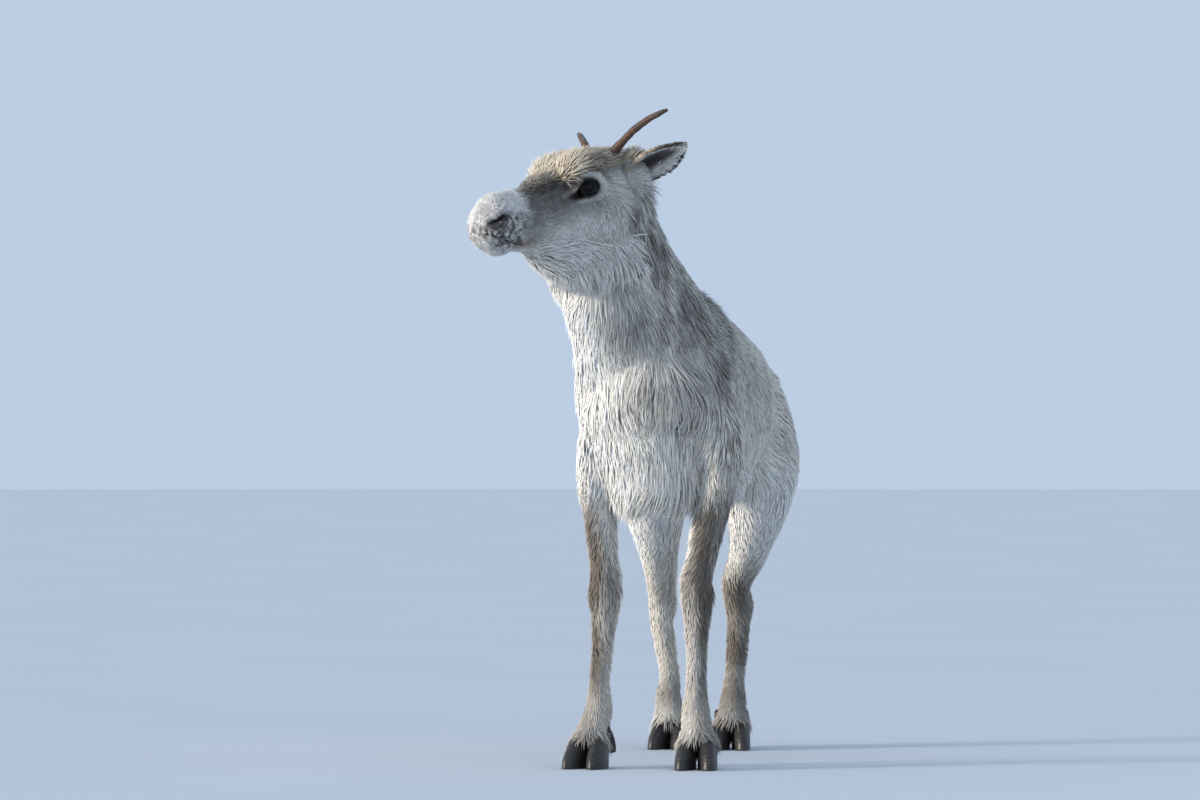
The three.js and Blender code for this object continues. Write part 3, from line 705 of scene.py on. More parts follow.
def face_colours(p, local):
    """Pale cheeks and crown, a dark bridge, temples and nape of the face."""
    lateral, back, h = local.T
    ahead = -back
    rough = np.clip(noise(p, 6, 6) + 0.2, 0, 1)
    fleck = np.clip(noise(p, 4.5, 8) - 0.05, 0, 1)
    cheek = ease(ahead, 30, 70) * (1 - ease(h, -44, -6)) * (1 - ease(ahead, 150, 235))
    cheek = np.maximum(cheek, 0.8 * (1 - ease(ahead, 62, 100)) * (1 - ease(h, 14, 34)))
    cheek = np.maximum(cheek, 1 - ease(h, -78, -50))
    bridge = ease(h, -2, 12) * ease(ahead, 118, 150) * (1 - ease(ahead, 236, 256))
    snout = ease(ahead, 128, 160) * (1 - ease(ahead, 232, 250)) * ease(h, -52, -24)
    crown_edge = top_line(ahead) - np.interp(ahead, [60, 120, 200], [20, 19, 6])
    crown = ease(h, crown_edge, crown_edge + 9) * (1 - ease(ahead, 190, 208))
    band = bump(h, crown_edge - 2, 11) * ease(ahead, 70, 110) * (1 - ease(ahead, 200, 220))
    temple = spot((ahead - 90) / 22, (h - 43) / 14) * ease(np.abs(lateral), 6, 20)
    poll = spot((ahead - 22) / 34, (h - 34) / 22)
    ear_back = spot((ahead - 38) / 13, (h + 38) / 30) * ease(np.abs(lateral), 22, 38)
    return layered(
        GREY * 0.98,
        (WHITE, 0.72 * cheek),
        (GREY, 0.4 * np.clip(hair_streaks(p), 0, 1) * cheek),
        (DARK, (0.32 + 0.5 * rough) * bridge),
        (DARK, 0.34 * snout * (0.7 + 0.6 * rough)),
        (BEIGE, 0.92 * crown),
        (DARK, 0.75 * crown * fleck * (1 - 0.6 * ease(ahead, 70, 150))),
        (DARK, 0.72 * band * (0.4 + 0.8 * rough)),
        (DARK, 0.85 * temple * (0.6 + 0.5 * rough)),
        (DARK, 0.6 * poll * rough),
        (DARK, 0.85 * ear_back),
    )


def with_eye(face, local, side):
    """Dark lids and tear corner inside a pale ring."""
    ahead, above, out = eye_frame(local, side)
    near = np.abs(out) < 34
    measure = lid_measure(ahead, above)
    pale = bump(measure, 1.85, 0.6) * (0.55 + 0.45 * ease(above, -4, 8)) * (1 - ease(ahead, 10, 26))
    tear = spot((ahead - 29) / 9, (above + 6 + 0.35 * (ahead - 29)) / 3.0)
    return layered(
        face,
        (WHITE, near * 0.85 * pale),
        (BROWN, near * 0.5 * bump(measure, 1.45, 0.3) * (above < -4)),
        (DARK, near * 0.5 * bump(measure, 2.35, 0.35) * (above > 0)),
        (BLACKISH, near * (1 - ease(measure, 1.2, 1.42))),
        (BLACKISH, near * 0.95 * tear),
    )


def with_muzzle(face, p, local):
    """Pale hair on the muzzle, speckled dark round the nostrils and on the lips, with painted shade in the
    nostrils' slits.
    """
    lateral, back, h = local.T
    ahead = -back
    muzzle = ease(ahead + 0.1 * h + 7 * noise(p, 7, 9), 206, 228)
    lower = ease(np.abs(lateral), 8, 22) * (1 - ease(h, -10, 6)) * (1 - ease(ahead, 266, 284))
    speck = np.clip(1.4 * noise(p, 3.6, 5) + 0.4, 0, 1)
    lower_speck = 0.55 * lower + 0.7 * noise(p, 3.2, 7) * (0.3 + lower)
    layers = [(FROST, 0.94 * muzzle), (DARK, muzzle * np.clip(lower_speck, 0, 0.9))]
    for side in (LEFT, RIGHT):
        rel = local - NOSTRIL * [side, 1, 1]
        on_side = rel[:, 0] * side > -18
        around = spot((rel[:, 1] - 8) / 24, (rel[:, 2] + 8) / 20) * on_side
        # Painted shade: the nostril's hollow is painted nearly black along its slit
        slit = spot(((rel[:, 1] + 1) / 16) ** 2, (rel[:, 2] - 0.42 * rel[:, 1] + 1) / 6.0)
        layers += [(DARK, 0.95 * around * speck), (BLACKISH, 1.1 * slit * on_side)]
    gap, along = mouth_distance(local)
    lips = bump(gap, 1, 17) * (ahead > 210) * (1 - ease(along, 0.96, 1.06))
    return layered(
        face,
        *layers,
        (DARK, 0.95 * lips * speck),
        (BLACKISH, 0.9 * bump(gap, 0, 2.6) * (ahead > 217)),
        (TAN, 0.9 * spot((ahead - 222) / 15, (h + 56) / 9)),
        (WHITE, 0.8 * (1 - ease(h, -66, -48)) * ease(ahead, 150, 200)),
    )


def markings(p):
    """The colour of the coat at places of the calf's frame."""
    local = to_head(p)
    ahead = -local[:, 1]
    in_head = (ahead > -14) & (np.linalg.norm((local - HEAD_MIDDLE) / HEAD_REACH, axis=1) < 1)
    face = face_colours(p, local)
    for side in (LEFT, RIGHT):
        face = with_eye(face, local, side)
    face = with_muzzle(face, p, local)
    share = np.where(in_head, ease(ahead, -10, 30), 0)[:, None]
    return blended(with_legs(trunk_colours(p), p), face, share)


# The lie of the coat
NECK_FOOT = np.array([0.0, -210.0, 640.0])
NECK_TOP = np.array([-36.0, -388.0, 896.0])
NECK_WAY = unit(NECK_TOP - NECK_FOOT)
NECK_LONG = float(np.linalg.norm(NECK_TOP - NECK_FOOT))


def neck_share(p):
    """How far up the neck each place is."""
    return ((p - NECK_FOOT) @ NECK_WAY) / NECK_LONG


def combed(p, n, way):
    """A way laid along the surface and turned a little from place to place."""
    swirl = 0.34 * noise(p, 55, 11) + 0.2 * noise(p, 22, 12)
    way = unit(way - n * dot(way, n))
    across = np.cross(n, way)
    return unit(way * np.cos(swirl)[:, None] + across * np.sin(swirl)[:, None])


def body_lie(p, n):
    """Back along the trunk, and down over breast, rump, haunches, neck and legs."""
    _, y, z = p.T
    fall = -0.25 - 0.4 * ease(np.abs(n[:, 0]), 0.3, 0.9)
    trunk = np.stack([np.zeros(len(p)), np.full(len(p), 0.9), fall], axis=1)
    way = layered(
        trunk,
        (np.array([0.0, 0.1, -1.0]), 1 - ease(y, -290, -190)),
        (np.array([0.0, 0.3, -1.0]), ease(y, 330, 410)),
        (np.array([0.0, 0.45, -0.9]), ease(y, 170, 260) * (1 - ease(z, 470, 620))),
        (-NECK_WAY + np.array([0.0, 0.15, -0.35]), ease(neck_share(p), -0.1, 0.3) * (y < -120)),
        (np.array([0.0, 0.14, -1.0]), leg_mask(p)),
    )
    return combed(p, n, way)


def head_lie(p, n):
    """Back along the head, falling down over the cheeks."""
    lateral, back, h = to_head(p).T
    cheek_fall = (1 - ease(h, -40, 20)) * (1 - ease(-back, 90, 190))
    way = np.stack([np.sign(lateral) * 0.1, np.full(len(p), 1.0), -0.15 - 2.4 * cheek_fall], axis=1)
    return combed(p, n, way @ HEAD_TURN.T)


def ruffled(way, out, amount):
    """The lie with a seeded spread along the skin."""
    spread = rng.normal(size=way.shape) * amount
    return unit(way + spread - out * dot(spread, out))


def sampled(obj, count, density):
    """Seeded places on a mesh: points in the calf's frame and normals, more where density is higher."""
    mesh = obj.data
    mesh.calc_loop_triangles()
    tris = np.empty(len(mesh.loop_triangles) * 3, dtype=int)
    mesh.loop_triangles.foreach_get("vertices", tris)
    tris = tris.reshape(-1, 3)
    points = points_of(obj)
    normals = np.empty(len(mesh.vertices) * 3)
    mesh.vertices.foreach_get("normal", normals)
    normals = normals.reshape(-1, 3)
    a, b, c = (points[tris[:, i]] for i in range(3))
    area = np.linalg.norm(np.cross(b - a, c - a), axis=1)
    weight = area * density((a + b + c) / 3)
    steps = np.cumsum(weight) / weight.sum()
    even = (np.arange(count) + rng.random(count)) / count
    pick = np.searchsorted(steps, even).clip(0, len(tris) - 1)
    u = rng.random(count)
    v = rng.random(count)
    flip = u + v > 1
    u[flip] = 1 - u[flip]
    v[flip] = 1 - v[flip]
    share = np.stack([1 - u - v, u, v], axis=1)
    chosen = tris[pick]
    at = np.einsum("ij,ijk->ik", share, points[chosen])
    out = unit(np.einsum("ij,ijk->ik", share, normals[chosen]))
    return at, out


def turn_share(a, b):
    """The angle of each place round a middle, as a share of a full turn."""
    return np.arctan2(a, b) / (2 * math.pi) + 0.5


def unwrap_of(p):
    """Each place's place on a flat unwrap of the skin, with a field for trunk, neck, head and each leg."""
    x, y, z = p.T
    lateral, back, h = to_head(p).T
    up_neck = neck_share(p)
    off = p - (NECK_FOOT + up_neck[:, None] * NECK_WAY * NECK_LONG)
    round_neck = turn_share(off[:, 0], off[:, 1] * NECK_WAY[2] - off[:, 2] * NECK_WAY[1])
    on_neck = (up_neck > 0.05) & (y < -150) & (z > 600)
    on_head = (-back > 0) & (np.abs(lateral) < 100) & (h > -115)
    # Left, bottom and width of the field, the turn and the length in it, and the places that go there
    fields = [
        (0.01, 0.01, 0.48, turn_share(x, z - 575), (y + 380) / 880, np.ones(len(p), dtype=bool)),
        (0.51, 0.01, 0.48, round_neck, up_neck / 1.2, on_neck),
        (0.01, 0.51, 0.48, turn_share(lateral, h + 15), -back / 300, on_head),
    ]
    for i, leg in enumerate(LEGS.values()):
        rows = np.array(leg["rows"])[::-1]
        off_x = x - np.interp(z, rows[:, 2], rows[:, 0])
        off_y = y - np.interp(z, rows[:, 2], rows[:, 1])
        here = (z < 400) & (np.abs(off_x) < 62) & (np.abs(off_y) < 150)
        fields.append((0.51 + 0.12 * i, 0.51, 0.11, turn_share(off_x, off_y), z / 400, here))
    uv = np.zeros((len(p), 2))
    for left, bottom, width, turn, along, here in fields:
        uv[here, 0] = (left + width * turn)[here]
        uv[here, 1] = (bottom + 0.48 * np.clip(along, 0, 1))[here]
    return uv


# Tufts: thin three-sided blades
UNWRAP_PATCH = 0.003
TUFT_FLATNESS = 1.9
ROOT_DEPTH = 1.2
PALEST = 0.84
SHADE_SPREAD = 0.38
LOCK_SHADE_SPREAD = 0.16
CELL_KEYS = (73856093, 19349663, 83492791)
FACES_IN_PIECE = 190000
made_coats = []


def tuft_faces(rings):
    """The faces of one tuft: rings of three corners and a tip."""
    faces = []
    for i in range(rings - 1):
        for j in range(3):
            a = 3 * i + j
            b = 3 * i + (j + 1) % 3
            faces.append([a, a + 3, b + 3])
            faces.append([a, b + 3, b])
    last = 3 * (rings - 1)
    for j in range(3):
        faces.append([last + j, last + 3, last + (j + 1) % 3])
    return np.array(faces)


def drawn_together(root, path, clump, cell_size):
    """Leans each tuft to the one that leads its cell, so that tips make locks, and gives each a shade."""
    tip = path[-1]
    wander = np.stack([noise(root, cell_size * 1.3, 50 + i) for i in range(3)], axis=1)
    cell = np.floor(root / cell_size + 0.8 * wander).astype(int) * CELL_KEYS
    key = cell[:, 0] ^ cell[:, 1] ^ cell[:, 2]
    _, lead, group = np.unique(key, return_index=True, return_inverse=True)
    reach = tip[lead][group] - tip
    pull = unit(reach) * np.minimum(np.linalg.norm(reach, axis=1, keepdims=True), cell_size)
    for i in range(1, len(path)):
        path[i] = path[i] + pull * clump * (i / (len(path) - 1)) ** 1.5
    return 1 + LOCK_SHADE_SPREAD * (np.random.default_rng(5).random(len(lead))[group] - 0.5)


def tuft_piece(name, points, faces, paint, uv, facing):
    """One mesh of many tufts."""
    mesh = bpy.data.meshes.new(name)
    corners = faces.ravel()
    mesh.vertices.add(len(points))
    mesh.vertices.foreach_set("co", to_row(points).ravel())
    mesh.loops.add(len(corners))
    mesh.loops.foreach_set("vertex_index", corners.astype(np.int32))
    mesh.polygons.add(len(faces))
    mesh.polygons.foreach_set("loop_start", np.arange(0, len(corners), 3, dtype=np.int32))
    mesh.polygons.foreach_set("use_smooth", np.ones(len(faces), dtype=bool))
    mesh.update(calc_edges=True)
    layer = mesh.uv_layers.new(name="OFBake")
    layer.data.foreach_set("uv", uv[corners].astype(np.float32).ravel())
    obj = placed(mesh)
    paint_mesh(obj, paint)
    mesh.validate()
    mesh.normals_split_custom_set_from_vertices(facing)
    mesh.materials.append(coat_material)
    return obj


def coat(name, root, out, way, long, wide, lift, droop, colour, light, dark, rings, clump=0.0, cell_size=20):
    """Tufts from their roots: lift is the angle they leave the skin at, droop how they lie down again.

    light and dark are the shades at tip and root, the darker root being painted shade deep in the coat; rings
    the corners' rows, clump how far tips draw together.
    """
    count = len(root)
    wide, light, dark = (np.broadcast_to(value, count) for value in (wide, light, dark))
    long = long * (0.8 + 0.4 * rng.random(count))
    lift = lift * (0.75 + 0.5 * rng.random(count))
    start = unit(way * np.cos(lift)[:, None] + out * np.sin(lift)[:, None])
    end = unit(way - out * droop)
    path = [root - out * ROOT_DEPTH]
    for share in np.linspace(0, 1, rings + 1)[:-1]:
        path.append(path[-1] + unit(blended(start, end, share)) * (long / rings)[:, None])
    tone = drawn_together(root, path, clump, cell_size) if clump else 1.0
    across = unit(np.cross(way, out))
    corners = []
    for i in range(rings):
        belly = 0.75 + 0.5 * math.sin(math.pi * (i + 0.6) / (rings + 0.6))
        half = (wide / 2 * belly * (1 - 0.35 * i / rings))[:, None]
        corners += [path[i] - across * half, path[i] + across * half, path[i] + out * half * 0.7]
    corners.append(path[-1])
    each = len(corners)
    points = np.stack(corners, axis=1).reshape(-1, 3)
    # Each tuft faces as the skin under it does, rounded a little to its sides
    facing = np.stack([unit(out * TUFT_FLATNESS - across), unit(out * TUFT_FLATNESS + across), out], axis=1)
    facing = np.concatenate([np.tile(facing, (1, rings, 1)), out[:, None]], axis=1).reshape(-1, 3)
    # A shade for each corner, darker at the root as painted shade deep in the coat, and lighter at the tip
    up_tuft = np.append(np.repeat(np.arange(rings) / rings, 3), 1.0)
    shade = 1 + SHADE_SPREAD * (rng.random(count) - 0.5)
    depth = dark[:, None] + (light - dark)[:, None] * up_tuft[None, :] ** 0.8
    paint = colour[:, None, :] * (depth * (shade * tone)[:, None])[..., None]
    paint = np.clip(paint, 0.0, PALEST).reshape(-1, 3)
    # The unwrap: a small patch for each tuft at its root's place
    patch = np.stack([np.append(np.tile([0.0, 1.0, 0.5], rings), 0.5), up_tuft], axis=1)
    uv = (unwrap_of(root)[:, None, :] + (patch - 0.5) * UNWRAP_PATCH).reshape(-1, 2)
    faces = tuft_faces(rings)
    pieces = math.ceil(count / (FACES_IN_PIECE // len(faces)))
    for k in range(pieces):
        chosen = np.arange(count)[k::pieces]
        index = (chosen[:, None] * each + np.arange(each)).ravel()
        piece_faces = (faces + (np.arange(len(chosen)) * each)[:, None, None]).reshape(-1, 3)
        made_coats.append(
            tuft_piece(f"{name}_{k + 1}", points[index], piece_faces, paint[index], uv[index], facing[index])
        )


# Materials
def material(name, roughness, sheen=0.0, specular=0.3):
    made = bpy.data.materials.new(name)
    made.use_nodes = True
    shader = made.node_tree.nodes["Principled BSDF"]
    shader.inputs["Roughness"].default_value = roughness
    shader.inputs["Sheen Weight"].default_value = sheen
    shader.inputs["Sheen Roughness"].default_value = 0.5
    shader.inputs["Specular IOR Level"].default_value = specular
    return made, made.node_tree, shader


def noise_node(tree, scale, detail=4.0, stretch=(1.0, 1.0, 1.0)):
    place = tree.nodes.new("ShaderNodeTexCoord")
    stretched = tree.nodes.new("ShaderNodeMapping")
    stretched.inputs["Scale"].default_value = stretch
    tree.links.new(place.outputs["Object"], stretched.inputs["Vector"])
    grain = tree.nodes.new("ShaderNodeTexNoise")
    grain.inputs["Scale"].default_value = scale
    grain.inputs["Detail"].default_value = detail
    tree.links.new(stretched.outputs["Vector"], grain.inputs["Vector"])
    return grain.outputs["Fac"]


def ramp_node(tree, source, *stops):
    ramp = tree.nodes.new("ShaderNodeValToRGB")
    for element, (place, colour) in zip(ramp.color_ramp.elements, stops):
        element.position = place
        element.color = (*colour, 1.0)
    tree.links.new(source, ramp.inputs["Fac"])
    return ramp.outputs["Color"]


def paint_node(tree):
    """The colour painted on the mesh."""
    paint = tree.nodes.new("ShaderNodeAttribute")
    paint.attribute_name = "coat"
    return paint.outputs["Color"]


def bump_node(tree, shader, source, strength, distance):
    raised = tree.nodes.new("ShaderNodeBump")
    raised.inputs["Strength"].default_value = strength
    raised.inputs["Distance"].default_value = distance
    tree.links.new(source, raised.inputs["Height"])
    tree.links.new(raised.outputs["Normal"], shader.inputs["Normal"])


def painted_material(made, grain, low, high, dark, strength, distance=0.0015):
    """The colour painted on the mesh, broken up by noise that darkens it and raises the surface."""
    made, tree, shader = made
    grain = noise_node(tree, *grain)
    both = tree.nodes.new("ShaderNodeMix")
    both.data_type = "RGBA"
    both.blend_type = "MULTIPLY"
    both.inputs["Factor"].default_value = 1.0
    tree.links.new(paint_node(tree), both.inputs["A"])
    tree.links.new(ramp_node(tree, grain, (low, (dark,) * 3), (high, (1.0,) * 3)), both.inputs["B"])
    tree.links.new(both.outputs["Result"], shader.inputs["Base Color"])
    bump_node(tree, shader, grain, strength, distance)
    return made


def antler_material():
    made = material("antler_bone", 0.55, sheen=0.2, specular=0.35)
    return painted_material(made, (260.0, 6.0), 0.3, 0.7, 0.55, 0.5, 0.0008)


def horn_material():
    made, tree, shader = material("claw_horn", 0.42, specular=0.45)
    grain = noise_node(tree, 90.0, 5.0, (1.0, 1.0, 6.0))
    colour = ramp_node(tree, grain, (0.3, (0.012, 0.011, 0.011)), (0.8, (0.055, 0.048, 0.042)))
    tree.links.new(colour, shader.inputs["Base Color"])
    bump_node(tree, shader, grain, 0.4, 0.001)
    return made


def eye_material(side):
    """Smooth and dark, in the colours painted on the eyeball."""
    made, tree, shader = material(f"eye_{side}", 0.07, specular=0.14)
    tree.links.new(paint_node(tree), shader.inputs["Base Color"])
    return made


def paint_mesh(obj, colours):
    attribute = obj.data.color_attributes.new("coat", "FLOAT_COLOR", "POINT")
    rgba = np.concatenate([np.clip(colours, 0, 1), np.ones((len(colours), 1))], axis=1)
    attribute.data.foreach_set("color", rgba.astype(np.float32).ravel())


short_hair = material("coat_short", 0.85, sheen=0.15, specular=0.2)
long_hair = material("coat_long", 0.72, sheen=0.15, specular=0.2)
skin_material = painted_material(short_hair, (420.0, 3.0, (1.0, 1.0, 0.3)), 0.25, 0.75, 0.65, 0.6)
coat_material = painted_material(long_hair, (160.0, 3.0), 0.25, 0.75, 0.88, 0.1)
UNDER_COAT_SHADE = 0.72
for obj in (body, head):
    paint_mesh(obj, markings(points_of(obj)) * UNDER_COAT_SHADE)
    obj.data.materials.append(skin_material)


# Eyes
EYEBALL_INSET = 0.4


def eye_colours(local, side):
    """A dark brown iris with a long level pupil, darker towards the rim."""
    ahead, above, _ = eye_frame(local, side)
    flat = np.sqrt(ahead**2 + above**2)
    pupil = 1 - ease(np.sqrt((ahead / 8.2) ** 2 + (above / 3.6) ** 2), 0.85, 1.1)
    return layered(
        srgb("0f0906"),
        (srgb("0a0604"), ease(flat, 8, 12.5)),
        (srgb("030303"), pupil),
        (srgb("0b0706"), ease(flat, 12.5, 14)),
    )


for name, side in SIDES.items():
    points, faces = ball(EYE_CENTRE * [side, 1, 1], [EYE_RADIUS - EYEBALL_INSET] * 3, 48, 64)
    eye = make(f"eyeball_{name}", to_calf(points), faces)
    paint_mesh(eye, eye_colours(points, side))
    eye.data.materials.append(eye_material(name))
    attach(eye, "root")
    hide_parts(f"eye_{name}")

# Antlers: bare spikes with a rough, slightly knobbed surface
ANTLER_ROOT = np.array([30.0, -44.0, 50.0])
ANTLERS = {"left": (np.array([85.0, 57, 54]), 9.0), "right": (np.array([-64.0, 28, 33]), 5.0)}
ANTLER_THICK = 6.0
ANTLER_SIZES = ((-0.2, 1.5), (-0.02, 1.5), (0.18, 1.08), (0.42, 1), (0.68, 0.88), (0.9, 0.72), (1, 0.45))
for name, side in SIDES.items():
    reach, arch = ANTLERS[name]
    root = ANTLER_ROOT * [side, 1, 1]
    rows = []
    for share, size in ANTLER_SIZES:
        at = root + reach * share + UP * arch * math.sin(math.pi * max(share, 0))
        rows.append([*at, *[ANTLER_THICK * size] * 3, 0, 1])
    rings = loft_rings(rows, AHEAD, 28, 110, [0.3])
    centre = rings.mean(axis=1, keepdims=True)
    flat = rings.reshape(-1, 3)
    swell = 1 + 0.07 * noise(flat, 6, 31) + 0.04 * noise(flat, 2.2, 32)
    rings = centre + (rings - centre) * swell.reshape(rings.shape[:2])[..., None]
    points, faces = skin_of(rings, (0, 2))
    antler = make(f"spike_{name}", to_calf(points), faces)
    share = np.clip(((points - root) @ reach) / (reach @ reach), 0, 1)
    tint = layered(
        srgb("60422f"),
        (srgb("4c4742"), ease(share, 0.72, 0.98)),
        (srgb("3a2a22"), (1 - ease(share, 0.0, 0.25)) * 0.8),
        (srgb("33251e"), 0.75 * np.clip(noise(points, 7, 33) + 0.2, 0, 1)),
    )
    paint_mesh(antler, tint)
    antler.data.materials.append(antler_material())
    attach(antler, "root")
    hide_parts(f"antler_{name}")

# Claws and dewclaws
CLAW_ROWS = [
    [0, 2, -6, 15, 45, 28, 0, 1],
    [0, 2, 8, 15.5, 41, 28, 0, 1],
    [0, 5, 22, 15, 31, 25, 0, 1],
    [0, 10, 36, 13, 22, 18, 0, 1],
    [0, 13, 46, 9, 13, 11, 0, 1],
]
DEWCLAW_ROWS = [
    [20, 22, 60, 8, 8, 8, 0, 1],
    [21, 32, 48, 8.5, 8, 9, 0, 1],
    [22, 40, 34, 8, 7.5, 8.5, 0, 1],
    [23, 45, 24, 5.5, 5, 6, 0, 1],
]
CLAW_ASIDE = 17
CLAW_SPLAY = 7
CLAW_RINGS = 44
CLAW_SOLE = 0.15
HORN_INSET = [0.2]
horn = horn_material()


def turned(points, degrees):
    a = math.radians(degrees)
    spin = np.array([[math.cos(a), -math.sin(a), 0], [math.sin(a), math.cos(a), 0], [0, 0, 1]])
    return points @ spin.T


def at_foot(points, leg):
    return turned(points, leg["splay"]) + [*leg["foot"], 0]


for leg_name, leg in LEGS.items():
    outward = 1 if leg["foot"][0] > 0 else -1
    for place, side in (("outer", outward), ("inner", -outward)):
        rings = loft_rings(CLAW_ROWS, AHEAD, 40, CLAW_RINGS, HORN_INSET)
        # The sole is flat, its rings a little apart
        step = 0.02 * np.arange(CLAW_RINGS)[::-1, None] * (rings[..., 2] < 0)
        rings[..., 2] = np.maximum(rings[..., 2], CLAW_SOLE + step)
        flat = rings.reshape(-1, 3)
        ripple = 1 + 0.012 * np.sin(flat[:, 2] * 1.1) + 0.01 * noise(flat, 9, 41)
        flat[:, :2] *= ripple[:, None]
        points, faces = skin_of(flat.reshape(rings.shape))
        points[:, 2] = np.maximum(points[:, 2], CLAW_SOLE)
        points = turned(points, side * CLAW_SPLAY) + [side * CLAW_ASIDE, 0, 0]
        hoof = make(f"claw_{leg_name}_{place}", at_foot(points, leg), faces)
        dew_rows = [[row[0] * side, *row[1:]] for row in DEWCLAW_ROWS]
        points, faces = skin_of(loft_rings(dew_rows, AHEAD, 24, 30, HORN_INSET), (0, 2))
        spur = make(f"spur_{leg_name}_{place}", at_foot(points, leg), faces)
        for obj, node in ((hoof, "hoof"), (spur, "dewclaw")):
            obj.data.materials.append(horn)
            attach(obj, "root")
            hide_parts(f"{node}_{leg_name}_{place}")

# Ears: cupped leaves with a thick hairy rim. Each leaf row is a share of the reach, half width and depth.
EARS = {
    "left": (np.array([80.0, 42, 40]), np.array([0.62, -0.35, -0.65])),
    "right": (np.array([-62.0, 68, 24]), np.array([-0.7, -0.2, -0.65])),
}
EAR_LEAF = np.array(
    [
        [-0.14, 17, 15],
        [0.06, 20, 17],
        [0.24, 25, 17],
        [0.44, 27, 15],
        [0.62, 24, 11],
        [0.79, 17, 7],
        [0.92, 9, 3],
        [1.0, 1.5, 0.5],
    ]
)
EAR_THICK = 4.0
EAR_OUTER = srgb("b09f88")
EAR_DARK = srgb("3c342c")
EAR_INNER = srgb("6a6058")
EAR_SKIN_SHADE = 0.8
EAR_ROWS = 60
EAR_SPANS = 33
EAR_TUFTS = (("back", 1500), ("rim", 1300), ("inside", 1000))
ear_tufts = []


def ear_grid(name, side):
    """Places over the ear's middle surface, the ways across, along and out of it, and shares of both ways."""
    reach, opening = EARS[name]
    root = EAR_ROOT * [side, 1, 1]
    along = unit(reach)
    opening = unit(opening - along * (opening @ along))
    across = np.cross(along, opening)
    leaf = curve_at(EAR_LEAF, np.linspace(0, 1, EAR_ROWS))
    u = np.linspace(-1, 1, EAR_SPANS)
    share = leaf[:, 0][:, None] * np.ones(EAR_SPANS)
    at = (
        root
        + share[..., None] * reach
        + (leaf[:, 1][:, None] * u)[..., None] * across
        + (-leaf[:, 2][:, None] * (1 - u**2))[..., None] * opening
    )
    return at, across, opening, along, share, u


for name, side in SIDES.items():
    at, across, opening, along, share, u = ear_grid(name, side)
    face = unit(np.cross(np.gradient(at, axis=1), np.gradient(at, axis=0)))
    face = face * np.sign(dot(face, opening))
    thick = (EAR_THICK / 2 * (1 - 0.5 * np.abs(u) ** 3))[None, :, None]
    points, faces = skin_of(np.concatenate([at - face * thick, (at + face * thick)[:, ::-1]], axis=1))
    ear = make(f"ear_skin_{name}", to_calf(points), faces)
    # What each point of the skin is: inside or outside, how far up the ear and how far from its middle
    inner = np.append(np.tile(np.repeat([0, 1], EAR_SPANS), EAR_ROWS), [0, 0])
    up_ear = np.append(np.concatenate([share, share], axis=1).ravel(), [0, 1])
    over = np.append(np.tile(np.concatenate([u, u[::-1]]), EAR_ROWS), [0, 0])
    upper = np.sign(over) * across[2] > 0
    over = np.abs(over)
    tint = layered(
        np.where(inner[:, None] > 0, EAR_INNER, EAR_OUTER),
        (WHITE, 0.8 * inner * ease(over, 0.35, 0.8)),
        (EAR_DARK, 0.9 * upper * ease(over, 0.86, 0.97) * ease(up_ear, 0.3, 0.6)),
        # Painted shade: nearly black in the middle of the ear's cup, low down inside it
        (BLACKISH, 0.85 * inner * (1 - ease(over, 0.1, 0.65)) * (1 - ease(up_ear, 0.45, 0.8))),
    )
    paint_mesh(ear, tint * EAR_SKIN_SHADE)
    ear.data.materials.append(skin_material)
    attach(ear, "root")
    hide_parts(f"ear_{name}")
    for kind, number in EAR_TUFTS:
        i = rng.integers(2, EAR_ROWS - 1, number)
        if kind == "rim":
            near_side = rng.random(number) < 0.5
            low = rng.integers(0, 3, number)
            j = np.where(near_side, low, rng.integers(EAR_SPANS - 3, EAR_SPANS, number))
        else:
            j = rng.integers(1, EAR_SPANS - 1, number)
        normal = face[i, j] * (-1 if kind == "back" else 1)
        edge = np.abs(u[j])
        upper = np.sign(u[j]) * across[2] > 0
        s = share[i, j]
        lift = 0.4
        if kind == "back":
            tip = 0.8 * ease(s, 0.6, 0.98) * ease(edge, 0.4, 0.9) * np.where(upper, 1, 0.1)
            shade = layered(EAR_OUTER, (EAR_DARK, tip), (GREY * 1.1, 0.6 * (1 - ease(s, 0.1, 0.5))))
            long = 11.0
        elif kind == "rim":
            shade = layered(WHITE, (EAR_OUTER, 0.9 * upper), (EAR_DARK, 0.85 * upper * ease(s, 0.4, 0.85)))
            long = 14.0 - 5 * s
            lift = 0.7
            normal = unit(normal * 0.4 + across * np.sign(u[j])[:, None])
        else:
            # Painted shade: the hair deep in the ear's hollow is darkened
            hollow = (1 - ease(edge, 0.2, 0.65)) * (1 - ease(s, 0.5, 0.8)) * ease(s, 0.05, 0.2)
            shade = layered(WHITE * 0.95, (EAR_DARK, 0.9 * hollow))
            long = 15.0 - 9 * hollow
        lean = unit(along + 0.25 * rng.normal(size=(number, 3)))
        lean = unit(lean - normal * dot(lean, normal))
        ones = np.ones(number)
        ear_tufts.append(
            (to_calf(at[i, j]), normal @ HEAD_TURN.T, lean @ HEAD_TURN.T, long * ones, lift * ones, shade)
        )

# The coat of the body
SHARE = 1.0
LONG_TUFTS = int(47000 * SHARE)
FLANK_TUFTS = int(33000 * SHARE)
LEG_TUFTS = int(17000 * SHARE)
HEAD_TUFTS = int(32000 * SHARE)


def long_zone(p):
    """1 where the coat is long: neck, breast, belly and seat."""
    _, y, z = p.T
    front = 1 - ease(y, -235, -150)
    belly = (1 - ease(z, 420, 480)) * ease(z, 370, 390)
    seat = ease(y, 340, 390)
    return np.maximum(np.maximum(front, belly), seat) * ease(z, 350, 410)


def under_head(p):
    """Places of the body's skin that the head covers."""
    lateral, back, h = to_head(p).T
    return (-back > 22) & (-back < 250) & (h > -84) & (np.abs(lateral) < 58)


